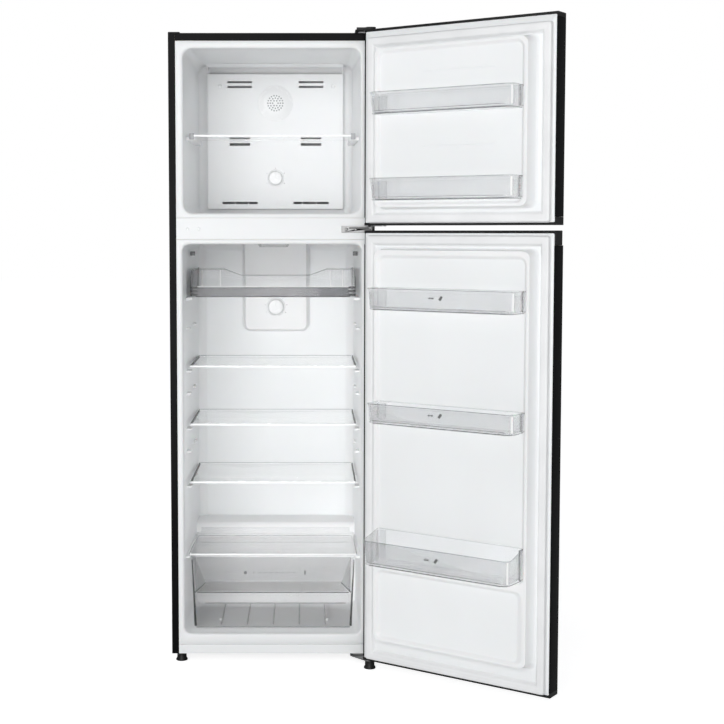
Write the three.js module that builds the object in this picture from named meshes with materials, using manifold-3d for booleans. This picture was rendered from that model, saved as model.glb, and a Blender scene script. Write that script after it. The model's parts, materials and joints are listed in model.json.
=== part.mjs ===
// A two-door refrigerator with the freezer on top, shown with both doors open.
//
// Millimetres. +X is to the right of someone facing the open cabinet, +Y goes into the
// cabinet, +Z is up. Every piece is drawn with x = 0 midway between the cabinet's sides,
// y = 0 in the plane of the cabinet's front edges and z = 0 on the floor. The finished
// group is then moved so that its origin is on the floor, at the middle of its whole box
// with the doors open.

import * as THREE from 'three';
import { mergeVertices } from 'three/addons/utils/BufferGeometryUtils.js';
import Module from 'manifold-3d';

const wasm = await Module();
wasm.setup();

// ---------------------------------------------------------------- driving dimensions

const CLEARANCE = 0.3; // between pieces that meet
const STEEL = 0.8; // sheet of the cabinet and door skins
const LINER = 2; // vacuum-formed inner walls
const BASE_SHEET = 1.2;

const CABINET = { halfWidth: 275, depth: 530, base: 29, top: 1705 };
const SIDE_FLANGE = 18.5; // front edge of each side panel
const TOP_FLANGE = 20;
const BACK_FLANGE = 12;

const FREEZER = {
  frontHalfWidth: 236, backHalfWidth: 226, floor: 1229, ceiling: 1665, depth: 420, corner: 24,
};
const EVAPORATOR_BAY = { halfWidth: 190, floor: 1250, ceiling: 1640, depth: 475, corner: 10 };
const FRIDGE = {
  frontHalfWidth: 240, backHalfWidth: 232, floor: 84, ceiling: 1146, depth: 450, corner: 19,
  backCorner: 28,
};
const HUMP = { frontAtFloor: 310, frontAtTop: 342, top: 320, corner: 14 }; // over the compressor
const MULLION = { bottom: 1159, top: 1216 };
const KICK_TOP = 54;
const FACE_THICKNESS = 3; // liner flanges and covers around the openings

const COMPRESSOR_BAY = { front: 370, top: 275 };

const GLASS_SHELF_TOPS = [812, 651, 490];
const SPARE_RIB_TOPS = [916, 735, 574];
const GLASS_SHELF = { halfWidth: 229, front: 75, back: 390, glass: 4, railDrop: 8 };
const FREEZER_SHELF = { halfWidth: 213, reach: 224, front: 60, back: 306, top: 1441, plate: 4 };
const CRISPER_COVER = { halfWidth: 231, front: 45, back: 332, bottom: 290, plate: 4 };
const CRISPER = {
  top: 286, bottom: 90, topHalfWidth: 226, bottomHalfWidth: 218, front: 35, topBack: 296,
  bottomBack: 288, wall: 3,
};
const GRIP_GROOVE = { depth: 45, lowZ: 190, deepZ: 206, highZ: 292, frontHalf: 215, deepHalf: 188 };
const CHILLER_TRAY = {
  halfWidth: 228, front: 90, back: 380, bottom: 1000, frontTop: 1027, sideTop: 1082,
  backTop: 1070, notchTop: 1049, notchHalf: 98, notchShoulder: 148, wall: 2.5,
};

const DOOR = { thickness: 48, gasketGap: 12, openDegrees: 145, rim: 3.5, edgeRadius: 6 };
const HINGE_X = 265.7;
const HINGE_Y = -34.7;
const FREEZER_DOOR = { bottom: 1196, top: 1707 };
const FRIDGE_DOOR = { bottom: 27, top: 1183 };
const LINER_MARGIN = 7; // from a door's top and bottom to its liner
const END_CAP = 12;
const LOWER_CAP = 20; // of the freezer door
const HANDLE_CAP = { height: 36, setBack: 5 };
const FINGER_SCOOP = { from: -252, to: -92, depth: 24, height: 26, corner: 10 };
const PLATEAU = { hingeSide: 233, rise: 28, pocketDrop: 7, corner: 24 };
const FREEZER_PLATEAU = { freeSide: -232, bottom: 1236, top: 1658 };
const FRIDGE_PLATEAU = { freeSide: -236, bottom: 91, top: 1139 };
const POCKET_HINGE_SIDE = 217.5;
const FREEZER_POCKETS = [{ freeSide: -199, bottom: 1250, top: 1644 }];
const FRIDGE_POCKETS = [
  { freeSide: -211, bottom: 306, top: 1118 },
  { freeSide: -211, bottom: 104, top: 288 },
];
const GASKET = { halfWidth: 264, width: 24, endMargin: 6 };

// Each bin: how far it stands out of the door's inner face, and its bottom and top. Its ends
// lie just inside its door's pocket.
const BIN_HINGE_END = 215;
const BIN_FREE_GAP = 0.5;
const BIN_WALL = 2.2;
const FREEZER_BINS = [
  { name: 'freezer_door_bin_upper', bottom: 1479, top: 1535, reach: 84 },
  { name: 'freezer_door_bin_lower', bottom: 1260, top: 1317, reach: 84 },
];
const FRIDGE_BINS = [
  { name: 'fridge_door_bin_upper', bottom: 980, top: 1036, reach: 92 },
  { name: 'fridge_door_bin_middle', bottom: 686, top: 738, reach: 92 },
  { name: 'bottle_bin', bottom: 317, top: 400, reach: 108 },
];

const EVAPORATOR_COVER = { halfWidth: 199, front: 400, bottom: 1247, bend: 1644, hoodFront: 337 };

// Air slots through the cover, one of each size on both sides of the fan.
const AIR_SLOT_X = 105;
const AIR_SLOTS = [
  { z: 1618, halfLength: 36, halfHeight: 3 },
  { z: 1604, halfLength: 36, halfHeight: 3 },
  { z: 1454, halfLength: 30, halfHeight: 2.5 },
  { z: 1436, halfLength: 30, halfHeight: 4 },
  { z: 1264, halfLength: 52, halfHeight: 3.5 },
];
const FAN = {
  x: 0, y: 435, z: 1556, intakeRadius: 46, hubRadius: 14, hubHalf: 7, blades: 5, bladeLength: 30,
  bladeChord: 22, bladeThickness: 1.6, bladePitch: 0.5,
};
const GRILLE = { radius: 52, rim: 44, height: 9, hole: 4, holeCircle: 14, holes: 6 };
const MOTOR = { radius: 20, front: 444, back: 466, armHalf: 66, armWidth: 18 };
const COIL = { passes: 5, pitch: 34, reach: 140, y: 445, startZ: 1275, radius: 4.5, finPitch: 40 };
const FREEZER_KNOB = { z: 1337, radius: 21, height: 10 };
const DUCT_COVER = { halfWidth: 92, bottom: 888, front: 420, bend: 1047, topFront: 388, corner: 16 };
const FRIDGE_KNOB = { z: 955.5, radius: 24, height: 11 };

const TOP_HINGE = { left: 222, plate: 3, coverTop: 1715 };
const PIN_RADIUS = 4;
const PIN_CLEARANCE = 0.6;
const COMPRESSOR = { x: -70, y: 450, radius: 72, bottom: 44, top: 195 };
const DRIP_TRAY = { left: -150, right: 10, front: 388, back: 512, bottom: 200, top: 232, wall: 2 };
const LAMP = { halfWidth: 45, front: 150, back: 200, height: 9, draft: 5, corner: 12 };
const CORD_GLAND = { x: 235, z: 60, radius: 10, depth: 12 };
const LEFT_FOOT = { x: -252, y: 40, radius: 13 };
const ROLLER = { x: 235, y: 490, radius: 13, halfWidth: 8 };

// ---------------------------------------------------------------- colours

function finish(color, roughness, metalness = 0, opacity = 1) {
  return new THREE.MeshStandardMaterial({
    color, roughness, metalness, opacity, transparent: opacity < 1,
  });
}

const BLACK_STEEL = () => finish(0x141416, 0.28, 0.4);
const BLACK_PLASTIC = () => finish(0x17171a, 0.5);
const WHITE_LINER = () => finish(0xeef0f2, 0.35);
const WHITE_RUBBER = () => finish(0xe9e9ea, 0.6);
const CLEAR_PLASTIC = () => finish(0xe4ecef, 0.12, 0, 0.35);
const SMOKY_PLASTIC = () => finish(0x8d9196, 0.15, 0, 0.55);
const GLASS = () => finish(0xdfeeea, 0.05, 0, 0.35);
const GREY_TRIM = () => finish(0xb9bdc1, 0.4);
const GALVANISED = () => finish(0x9da1a5, 0.4, 0.8);
const BRIGHT_STEEL = () => finish(0xc9cccf, 0.2, 0.9);
const ALUMINIUM = () => finish(0xc4c8cc, 0.35, 0.8);
const FOAM = () => finish(0xe6d3a0, 0.9);

// ---------------------------------------------------------------- shapes

// A closed outline from corners [u, v, radius]; a corner with a radius becomes an arc.
function outline(corners, steps = 3) {
  const points = [];
  corners.forEach(([u, v, radius = 0], index) => {
    const corner = new THREE.Vector2(u, v);
    if (!radius) {
      points.push(corner);
      return;
    }
    const [beforeU, beforeV] = corners.at(index - 1);
    const [afterU, afterV] = corners[(index + 1) % corners.length];
    const before = new THREE.Vector2(beforeU, beforeV).sub(corner).normalize();
    const after = new THREE.Vector2(afterU, afterV).sub(corner).normalize();
    const half = Math.acos(before.dot(after)) / 2;
    const toCentre = before.clone().add(after).setLength(radius / Math.sin(half));
    const centre = corner.clone().add(toCentre);
    const start = corner.clone().addScaledVector(before, radius / Math.tan(half)).sub(centre);
    const end = corner.clone().addScaledVector(after, radius / Math.tan(half)).sub(centre);
    const turn = Math.atan2(start.cross(end), start.dot(end));
    for (let step = 0; step <= steps; step += 1) {
      const spoke = start.clone().rotateAround(new THREE.Vector2(), (turn * step) / steps);
      points.push(spoke.add(centre));
    }
  });
  return points;
}

function rectangle(u0, u1, v0, v1, radius = 0, steps = 3) {
  return outline([[u0, v0, radius], [u1, v0, radius], [u1, v1, radius], [u0, v1, radius]], steps);
}

// Turns a shape drawn in its own u, v, w axes so that w runs along the named axis.
function aim(geometry, axis) {
  const turn = new THREE.Matrix4();
  if (axis === 'y') turn.set(1, 0, 0, 0, 0, 0, -1, 0, 0, 1, 0, 0, 0, 0, 0, 1);
  if (axis === 'x') turn.set(0, 0, 1, 0, 1, 0, 0, 0, 0, 1, 0, 0, 0, 0, 0, 1);
  return geometry.applyMatrix4(turn);
}

function solidOf(geometry) {
  const bare = geometry.clone();
  bare.deleteAttribute('normal');
  bare.deleteAttribute('uv');
  const merged = mergeVertices(bare, 1e-4);
  return new wasm.Manifold(new wasm.Mesh({
    numProp: 3,
    vertProperties: new Float32Array(merged.attributes.position.array),
    triVerts: new Uint32Array(merged.index.array),
  }));
}

function geometryOf(solid) {
  const mesh = solid.getMesh();
  const geometry = new THREE.BufferGeometry();
  geometry.setAttribute('position', new THREE.BufferAttribute(mesh.vertProperties, 3));
  geometry.setIndex(new THREE.BufferAttribute(mesh.triVerts, 1));
  geometry.computeVertexNormals();
  return geometry;
}

function block(x0, x1, y0, y1, z0, z1) {
  const box = new THREE.BoxGeometry(x1 - x0, y1 - y0, z1 - z0);
  return solidOf(box.translate((x0 + x1) / 2, (y0 + y1) / 2, (z0 + z1) / 2));
}

// Outlines are (x, y) along z, (x, z) along y and (y, z) along x.
function prism(points, axis, from, to) {
  const shape = new THREE.Shape(points);
  const straight = new THREE.ExtrudeGeometry(shape, { depth: to - from, bevelEnabled: false });
  return solidOf(aim(straight.translate(0, 0, axis === 'y' ? -to : from), axis));
}

// A body between two outlines of equal count, such as a wall with draft.
function loft(low, from, high, to, axis = 'z') {
  const [first, last, start, end] = axis === 'y' ? [high, low, -to, -from] : [low, high, from, to];
  const count = first.length;
  const positions = [];
  first.forEach((p) => positions.push(p.x, p.y, start));
  last.forEach((p) => positions.push(p.x, p.y, end));
  const faces = [];
  for (let i = 0; i < count; i += 1) {
    const next = (i + 1) % count;
    faces.push(i, next, count + next, i, count + next, count + i);
  }
  THREE.ShapeUtils.triangulateShape(last, []).forEach(([a, b, c]) => {
    faces.push(count + a, count + b, count + c, c, b, a);
  });
  const geometry = new THREE.BufferGeometry();
  geometry.setAttribute('position', new THREE.Float32BufferAttribute(positions, 3));
  geometry.setIndex(faces);
  return solidOf(aim(geometry, axis));
}

// A body turned about an axis through (x, y, z); the profile is [radius, distance along].
function turned(profile, axis, x, y, z, sides = 20) {
  const points = profile.map(([radius, along]) => new THREE.Vector2(radius, along));
  const lathe = new THREE.LatheGeometry(points, sides);
  if (axis === 'z') lathe.rotateX(Math.PI / 2);
  if (axis === 'x') lathe.rotateZ(-Math.PI / 2);
  return solidOf(lathe.translate(x, y, z));
}

function rod(radius, axis, from, to, a, b, sides = 16) {
  const profile = [[0, from], [radius, from], [radius, to], [0, to]];
  if (axis === 'x') return turned(profile, axis, 0, a, b, sides);
  if (axis === 'y') return turned(profile, axis, a, 0, b, sides);
  return turned(profile, axis, a, b, 0, sides);
}

function cut(base, ...tools) {
  return tools.reduce((left, tool) => left.subtract(tool), base);
}

function join(base, ...others) {
  return others.reduce((whole, other) => whole.add(other), base);
}

function addPart(group, name, solid, material) {
  const mesh = new THREE.Mesh(geometryOf(solid), material);
  mesh.name = name;
  group.add(mesh);
}

// ---------------------------------------------------------------- the cabinet's hollows

function sideWall(hollow, y) {
  const taper = (hollow.frontHalfWidth - hollow.backHalfWidth) / hollow.depth;
  return hollow.frontHalfWidth - taper * y;
}

function hollowSection(hollow, y, grow) {
  const half = sideWall(hollow, y) + grow;
  const radius = hollow.corner + grow;
  return rectangle(-half, half, hollow.floor - grow, hollow.ceiling + grow, radius, 4);
}

function freezerHollow(grow, front) {
  const back = FREEZER.depth + grow;
  const room = loft(hollowSection(FREEZER, front, grow), front,
    hollowSection(FREEZER, back, grow), back, 'y');
  const bay = EVAPORATOR_BAY;
  const half = bay.halfWidth + grow;
  const bayOutline = rectangle(-half, half, bay.floor - grow, bay.ceiling + grow, bay.corner + grow);
  return join(room, prism(bayOutline, 'y', FREEZER.depth - 10, bay.depth + grow));
}

function fridgeHollow(grow, front) {
  const back = FRIDGE.depth + grow;
  const room = loft(hollowSection(FRIDGE, front, grow), front,
    hollowSection(FRIDGE, back, grow), back, 'y');
  const nearHalf = sideWall(FRIDGE, front) + grow;
  const farHalf = sideWall(FRIDGE, back) + grow;
  const radius = FRIDGE.backCorner + grow;
  const plan = outline([
    [-nearHalf, front], [nearHalf, front], [farHalf, back, radius], [-farHalf, back, radius],
  ], 5);
  const upright = prism(plan, 'z', FRIDGE.floor - 10, FRIDGE.ceiling + 10);
  const hump = outline([
    [HUMP.frontAtFloor + grow - 2, FRIDGE.floor - 20],
    [FRIDGE.depth + 50, FRIDGE.floor - 20],
    [FRIDGE.depth + 50, HUMP.top - grow],
    [HUMP.frontAtTop + grow, HUMP.top - grow, HUMP.corner],
  ]);
  return cut(room.intersect(upright), prism(hump, 'x', -300, 300));
}

// A rib on each side wall of the fridge, from the given distance off centre to the wall.
function wallRibs(hollow, inner, front, back, low, high) {
  const plan = [
    [inner, front], [sideWall(hollow, front) + LINER / 2, front],
    [sideWall(hollow, back) + LINER / 2, back], [inner, back],
  ];
  const mirrored = plan.map(([x, y]) => [-x, y]).reverse();
  return [plan, mirrored].map((corners) => prism(outline(corners), 'z', low, high));
}

// ---------------------------------------------------------------- cabinet shell

function sidePanel(side) {
  const { halfWidth, depth, base, top } = CABINET;
  const corners = [
    [halfWidth, 0], [halfWidth - SIDE_FLANGE, 0], [halfWidth - SIDE_FLANGE, STEEL],
    [halfWidth - STEEL, STEEL], [halfWidth - STEEL, depth - STEEL],
    [halfWidth - BACK_FLANGE, depth - STEEL], [halfWidth - BACK_FLANGE, depth],
    [halfWidth, depth],
  ].map(([x, y]) => [side * x, y]);
  return prism(outline(corners), 'z', base, top);
}

function topPanel() {
  const { halfWidth, depth, top } = CABINET;
  const sheetHalf = halfWidth - STEEL - CLEARANCE;
  const flangeHalf = halfWidth - SIDE_FLANGE - CLEARANCE;
  const backHalf = halfWidth - BACK_FLANGE - CLEARANCE;
  const sheetEnd = depth - STEEL - CLEARANCE;
  return join(
    block(-sheetHalf, sheetHalf, STEEL + CLEARANCE, sheetEnd, top - STEEL, top),
    block(-flangeHalf, flangeHalf, 0, 2, top - STEEL, top),
    block(-flangeHalf, flangeHalf, 0, STEEL, top - TOP_FLANGE, top),
    block(-backHalf, backHalf, sheetEnd - 1, depth, top - STEEL, top),
    block(-backHalf, backHalf, depth - STEEL, depth, top - BACK_FLANGE, top),
  );
}

function backPanel() {
  const half = CABINET.halfWidth - STEEL - CLEARANCE;
  const outside = CABINET.depth - STEEL - CLEARANCE;
  return block(-half, half, outside - STEEL, outside, COMPRESSOR_BAY.top + 2,
    CABINET.top - STEEL - CLEARANCE);
}

function basePlate() {
  const half = CABINET.halfWidth - STEEL - CLEARANCE;
  const { base, depth } = CABINET;
  const plate = block(-half, half, FACE_THICKNESS + CLEARANCE, depth - STEEL - CLEARANCE,
    base, base + BASE_SHEET);
  const cheeks = [-1, 1].flatMap((side) => [-1, 1].map((edge) => {
    const middle = side * ROLLER.x + edge * (ROLLER.halfWidth + 3);
    const cheek = block(middle - 1, middle + 1, ROLLER.y - 13, ROLLER.y + 13, 7, base + 0.5);
    return cut(cheek, rod(PIN_RADIUS, 'x', middle - 5, middle + 5, ROLLER.y, ROLLER.radius));
  }));
  return join(plate, ...cheeks);
}

function bayPartition() {
  const half = CABINET.halfWidth - STEEL - CLEARANCE;
  const { front, top } = COMPRESSOR_BAY;
  const back = CABINET.depth - STEEL - CLEARANCE;
  const floor = CABINET.base + BASE_SHEET + CLEARANCE;
  return prism(outline([
    [front, floor], [front, top], [back, top], [back, top + STEEL], [front - STEEL, top + STEEL],
    [front - STEEL, floor],
  ]), 'x', -half, half);
}

function cabinetFoam() {
  const half = CABINET.halfWidth - STEEL - CLEARANCE;
  const gap = LINER + CLEARANCE;
  const front = FACE_THICKNESS + CLEARANCE;
  const back = CABINET.depth - 2 * (STEEL + CLEARANCE);
  const body = block(-half, half, front, back, CABINET.base + BASE_SHEET + CLEARANCE,
    CABINET.top - STEEL - CLEARANCE);
  const bay = COMPRESSOR_BAY;
  return cut(body,
    freezerHollow(gap, 0),
    fridgeHollow(gap, 0),
    block(-300, 300, bay.front - STEEL - CLEARANCE, 600, 0, bay.top + STEEL + CLEARANCE));
}

// ---------------------------------------------------------------- liners and face pieces

function faceFlange(bottom, top) {
  const half = CABINET.halfWidth - SIDE_FLANGE - CLEARANCE;
  return block(-half, half, 0, FACE_THICKNESS, bottom, top);
}

function freezerLiner() {
  const flange = faceFlange(MULLION.top + CLEARANCE, CABINET.top - TOP_FLANGE - CLEARANCE);
  const shell = cut(join(flange, freezerHollow(LINER, 0)), freezerHollow(0, -5));
  const shelf = FREEZER_SHELF;
  const ribTop = shelf.top - shelf.plate - CLEARANCE;
  return join(shell, ...wallRibs(FREEZER, shelf.halfWidth - 3, 72, 312, ribTop - 10, ribTop));
}

function fridgeLiner() {
  const flange = faceFlange(KICK_TOP + CLEARANCE, MULLION.bottom - CLEARANCE);
  const shell = cut(join(flange, fridgeHollow(LINER, 0)), fridgeHollow(0, -5));
  const inner = GLASS_SHELF.halfWidth - 9;
  const railBottoms = GLASS_SHELF_TOPS.map((top) => top - GLASS_SHELF.glass - GLASS_SHELF.railDrop);
  const levels = [...railBottoms, ...SPARE_RIB_TOPS];
  const ribs = levels.flatMap((level) => (
    wallRibs(FRIDGE, inner, GLASS_SHELF.front + 12, 404, level - 8, level - CLEARANCE)));
  const trayRibs = wallRibs(FRIDGE, CHILLER_TRAY.halfWidth - 7, 84, 384,
    CHILLER_TRAY.bottom - 9, CHILLER_TRAY.bottom - CLEARANCE);
  const coverLedges = wallRibs(FRIDGE, CRISPER.topHalfWidth + 1.5, 40, 318,
    CRISPER_COVER.bottom - 7, CRISPER_COVER.bottom - CLEARANCE);
  const runners = [-150, 150].map((x) => (
    block(x - 4, x + 4, 25, 280, FRIDGE.floor - 1, CRISPER.bottom - CLEARANCE)));
  return join(shell, ...ribs, ...trayRibs, ...coverLedges, ...runners);
}

function mullionCover() {
  return faceFlange(MULLION.bottom, MULLION.top);
}

function kickPlate() {
  const half = CABINET.halfWidth - SIDE_FLANGE - CLEARANCE;
  return faceFlange(CABINET.base, KICK_TOP).intersect(block(-half, half, -1, 2.6, 0, 100));
}

// ---------------------------------------------------------------- freezer air system

function evaporatorCover() {
  const { halfWidth, front, bottom, bend, hoodFront } = EVAPORATOR_COVER;
  const back = FREEZER.depth - CLEARANCE;
  const ceiling = FREEZER.ceiling - CLEARANCE;
  const wall = 3;
  const hood = (inset) => outline([
    [front + inset, bottom + inset], [back + inset * 4, bottom + inset],
    [back + inset * 4, ceiling - inset], [hoodFront + inset * 4, ceiling - inset],
    [front + inset, bend - inset * 1.4],
  ]);
  const shell = cut(prism(hood(0), 'x', -halfWidth, halfWidth),
    prism(hood(wall), 'x', -halfWidth + wall, halfWidth - wall));
  const slots = [-AIR_SLOT_X, AIR_SLOT_X].flatMap((middle) => (
    AIR_SLOTS.map(({ z, halfLength, halfHeight }) => (
      block(middle - halfLength, middle + halfLength, front - 10, front + 10,
        z - halfHeight, z + halfHeight)))));
  const intake = rod(FAN.intakeRadius, 'y', front - 10, front + 10, FAN.x, FAN.z, 24);
  return cut(shell, ...slots, intake);
}

function fanGrille() {
  const { radius, rim, height, hole, holeCircle, holes } = GRILLE;
  const front = EVAPORATOR_COVER.front;
  const dome = turned([
    [0, front - height], [radius * 0.62, front - height + 1], [radius, front - 3],
    [radius, front - CLEARANCE], [rim, front - CLEARANCE], [rim, front - 2],
    [radius * 0.6, front - height + 4], [0, front - height + 3],
  ], 'y', FAN.x, 0, FAN.z, 28);
  const tools = [];
  for (let index = 0; index < holes; index += 1) {
    const angle = (index / holes) * 2 * Math.PI;
    const x = FAN.x + holeCircle * Math.cos(angle);
    const z = FAN.z + holeCircle * Math.sin(angle);
    tools.push(rod(hole, 'y', front - height - 5, front + 5, x, z, 6));
  }
  return cut(dome, ...tools);
}

function evaporatorFan() {
  const hub = rod(FAN.hubRadius, 'y', FAN.y - FAN.hubHalf, FAN.y + FAN.hubHalf, FAN.x, FAN.z);
  const blades = [];
  for (let blade = 0; blade < FAN.blades; blade += 1) {
    const plate = new THREE.BoxGeometry(FAN.bladeLength, FAN.bladeThickness, FAN.bladeChord);
    plate.rotateX(FAN.bladePitch);
    plate.translate(FAN.hubRadius + FAN.bladeLength / 2 - 3, 0, 0);
    plate.rotateY((-blade / FAN.blades) * 2 * Math.PI);
    plate.translate(FAN.x, FAN.y, FAN.z);
    blades.push(solidOf(plate));
  }
  return join(hub, ...blades);
}

function fanMotor() {
  const { radius, front, back, armHalf, armWidth } = MOTOR;
  const low = FAN.z - armWidth / 2;
  const high = FAN.z + armWidth / 2;
  const can = rod(radius, 'y', front, back, FAN.x, FAN.z);
  const bridge = block(-armHalf, armHalf, back - 10, back - 6, low, high);
  const legs = [-armHalf, armHalf - 8].map((left) => (
    block(left, left + 8, back - 8, EVAPORATOR_BAY.depth - CLEARANCE, low, high)));
  return join(can, bridge, ...legs);
}

function evaporatorCoil() {
  const { passes, pitch, reach, y, startZ, radius, finPitch } = COIL;
  const route = new THREE.CurvePath();
  for (let pass = 0; pass < passes; pass += 1) {
    const side = pass % 2 ? -1 : 1;
    const z = startZ + pass * pitch;
    const from = new THREE.Vector3(-side * reach, y, z);
    const to = new THREE.Vector3(side * reach, y, z);
    route.add(new THREE.LineCurve3(from, to));
    if (pass < passes - 1) {
      const bulge = new THREE.Vector3(side * (reach + pitch * 0.9), y, z);
      const above = new THREE.Vector3(side * (reach + pitch * 0.9), y, z + pitch);
      route.add(new THREE.CubicBezierCurve3(to, bulge, above, to.clone().setZ(z + pitch)));
    }
  }
  const section = new THREE.Shape(
    new THREE.EllipseCurve(0, 0, radius, radius).getPoints(6).slice(0, 6),
  );
  const tube = new THREE.ExtrudeGeometry(section, { extrudePath: route, steps: 60 });
  const fins = [];
  const finEnd = 3 * finPitch;
  for (let x = -finEnd; x <= finEnd; x += finPitch) {
    fins.push(block(x - 0.5, x + 0.5, y - 18, y + 18, startZ - 14, startZ + (passes - 1) * pitch + 14));
  }
  return join(solidOf(tube), ...fins);
}

function controlKnob(z, face, { radius, height }) {
  const skirt = turned([
    [0, face - height], [radius * 0.86, face - height], [radius * 0.92, face - height + 1],
    [radius, face - CLEARANCE], [0, face - CLEARANCE],
  ], 'y', 0, 0, z, 24);
  return join(skirt, block(-1.5, 1.5, face - height - 1.5, face - height + 1, z, z + radius * 0.8));
}

// ---------------------------------------------------------------- fridge fittings

function ductCover() {
  const { halfWidth, bottom, front, bend, topFront, corner } = DUCT_COVER;
  const back = FRIDGE.depth - CLEARANCE;
  const ceiling = FRIDGE.ceiling - CLEARANCE;
  const wall = 2.5;
  const side = (inset) => outline([
    [front + inset, bottom - 5], [back + inset * 4, bottom - 5],
    [back + inset * 4, ceiling - inset], [topFront + inset, ceiling - inset],
    [front + inset, bend - inset, 90],
  ]);
  const face = (inset) => outline([
    [-halfWidth + inset, bottom + inset, corner], [halfWidth - inset, bottom + inset, corner],
    [halfWidth - inset, ceiling - inset], [-halfWidth + inset, ceiling - inset],
  ]);
  const body = (inset) => prism(side(inset), 'x', -halfWidth, halfWidth)
    .intersect(prism(face(inset), 'y', topFront - 20, back + 20));
  const outlets = [-34, 34].map((x) => block(x - 12, x + 12, 300, 412, 1130, 1137));
  return cut(body(0), body(wall), ...outlets);
}

function lampCover() {
  const ceiling = FRIDGE.ceiling - CLEARANCE;
  const { halfWidth, front, back, height, draft, corner } = LAMP;
  const section = (inset) => (
    rectangle(-halfWidth + inset, halfWidth - inset, front + inset, back - inset, corner));
  return loft(section(draft), ceiling - height, section(0), ceiling);
}

function freezerShelf() {
  const { halfWidth, front, back, top, plate } = FREEZER_SHELF;
  const glass = rectangle(-halfWidth, halfWidth, front + 8.3, back, 4);
  return prism(glass, 'z', top - plate, top);
}

function freezerShelfTrim() {
  const { halfWidth, reach, front, top, plate } = FREEZER_SHELF;
  const bar = prism(outline([
    [front, top - plate - 6, 3], [front + 8, top - plate - 6], [front + 8, top + 2],
    [front, top + 2, 3],
  ]), 'x', -halfWidth, halfWidth);
  const clips = [-1, 1].map((side) => {
    const middle = side * (halfWidth + reach) / 2;
    const half = (reach - halfWidth) / 2 + 1;
    return block(middle - half, middle + half, front, front + 8, top - plate - 8, top + 4);
  });
  return join(bar, ...clips);
}

function shelfGlass(top) {
  const { halfWidth, front, back, glass } = GLASS_SHELF;
  const sheet = rectangle(-halfWidth + 2, halfWidth - 2, front + 10.3, back, 6);
  return prism(sheet, 'z', top - glass, top);
}

function shelfTrim(top) {
  const { halfWidth, front, back, glass, railDrop } = GLASS_SHELF;
  const under = top - glass - CLEARANCE;
  const bottom = top - glass - railDrop;
  const bar = prism(outline([
    [front, bottom - 2, 4], [front + 10, bottom - 2], [front + 10, top + 1], [front, top + 1, 3],
  ]), 'x', -halfWidth + 1, halfWidth - 1);
  const rails = [-1, 1].map((side) => {
    const [low, high] = [side * (halfWidth - 10), side * (halfWidth - 1)].sort((a, b) => a - b);
    return block(low, high, front + 5, back - 4, bottom, under);
  });
  const clearRib = block(-halfWidth, halfWidth, front + 8, front + 10, bottom, under);
  return join(bar, ...rails, clearRib);
}

function crisperCover() {
  const { halfWidth, front, back, bottom, plate } = CRISPER_COVER;
  const sheet = rectangle(-halfWidth, halfWidth, front, back, 10);
  const lip = block(-halfWidth + 12, halfWidth - 12, back - 4, back, bottom + 1, bottom + 18);
  const nose = block(-halfWidth + 8, halfWidth - 8, front, front + 3, bottom, bottom + plate + 3);
  return join(prism(sheet, 'z', bottom, bottom + plate), lip, nose);
}

// The grip groove narrows towards the back and is cut across the drawer's front.
function gripGroove(grow) {
  const g = GRIP_GROOVE;
  const front = CRISPER.front;
  const reach = 3 * grow;
  const mouth = rectangle(-g.frontHalf - grow, g.frontHalf + grow, g.lowZ - grow, g.highZ + reach);
  const deep = rectangle(-g.deepHalf - grow, g.deepHalf + grow, g.deepZ - grow, g.deepZ + grow + 1);
  return loft(mouth, front - 1, deep, front + g.depth + grow, 'y');
}

function crisperDrawer() {
  const c = CRISPER;
  const section = (half, front, back, inset) => (
    rectangle(-half + inset, half - inset, front + inset, back - inset, 16 - inset));
  const outer = loft(section(c.bottomHalfWidth, c.front + 3, c.bottomBack, 0), c.bottom,
    section(c.topHalfWidth, c.front, c.topBack, 0), c.top);
  const inner = loft(
    section(c.bottomHalfWidth, c.front + 3, c.bottomBack, c.wall),
    c.bottom + c.wall,
    section(c.topHalfWidth, c.front, c.topBack, c.wall),
    c.top + 1,
  );
  return cut(outer, gripGroove(0), cut(inner, gripGroove(c.wall)));
}

function chillerTray() {
  const t = CHILLER_TRAY;
  const plan = rectangle(-t.halfWidth, t.halfWidth, t.front, t.back, 10);
  const body = prism(plan, 'z', t.bottom, t.sideTop);
  const inner = prism(rectangle(-t.halfWidth + t.wall, t.halfWidth - t.wall, t.front + t.wall,
    t.back - t.wall, 8), 'z', t.bottom + t.wall, t.sideTop + 5);
  const above = t.sideTop + 20;
  const frontDip = prism(outline([
    [t.front - 10, t.frontTop], [t.front + 26, t.frontTop, 24], [t.front + 60, t.sideTop - 6, 40],
    [t.back - 6, t.backTop + 4], [t.back + 10, t.backTop], [t.back + 10, above], [t.front - 10, above],
  ], 4), 'x', -300, 300);
  const backNotch = prism(outline([
    [-t.notchHalf, t.notchTop], [t.notchHalf, t.notchTop], [t.notchShoulder, t.backTop],
    [t.notchShoulder + 30, above], [-t.notchShoulder - 30, above], [-t.notchShoulder, t.backTop],
  ]), 'y', t.back - 30, t.back + 10);
  return cut(body, inner, frontDip, backNotch);
}

// ---------------------------------------------------------------- machine bay

function compressor() {
  const { x, y, radius, bottom, top } = COMPRESSOR;
  const floor = CABINET.base + BASE_SHEET + CLEARANCE;
  const can = turned([
    [0, bottom], [radius * 0.7, bottom + 2], [radius, bottom + 22], [radius + 3, bottom + 74],
    [radius + 3, bottom + 80], [radius, bottom + 82], [radius * 0.93, top - 27],
    [radius * 0.55, top - 5], [0, top],
  ], 'z', x, y, 0, 24);
  const feet = block(x - 96, x + 96, y - 50, y + 50, floor + 12, floor + 16);
  const mounts = [-84, 84].flatMap((across) => [-38, 38].map((along) => (
    rod(9, 'z', floor, floor + 14, x + across, y + along, 10))));
  const terminals = block(x + radius - 8, x + radius + 22, y - 20, y + 20, 90, 130);
  return join(can, feet, ...mounts, terminals);
}

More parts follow.
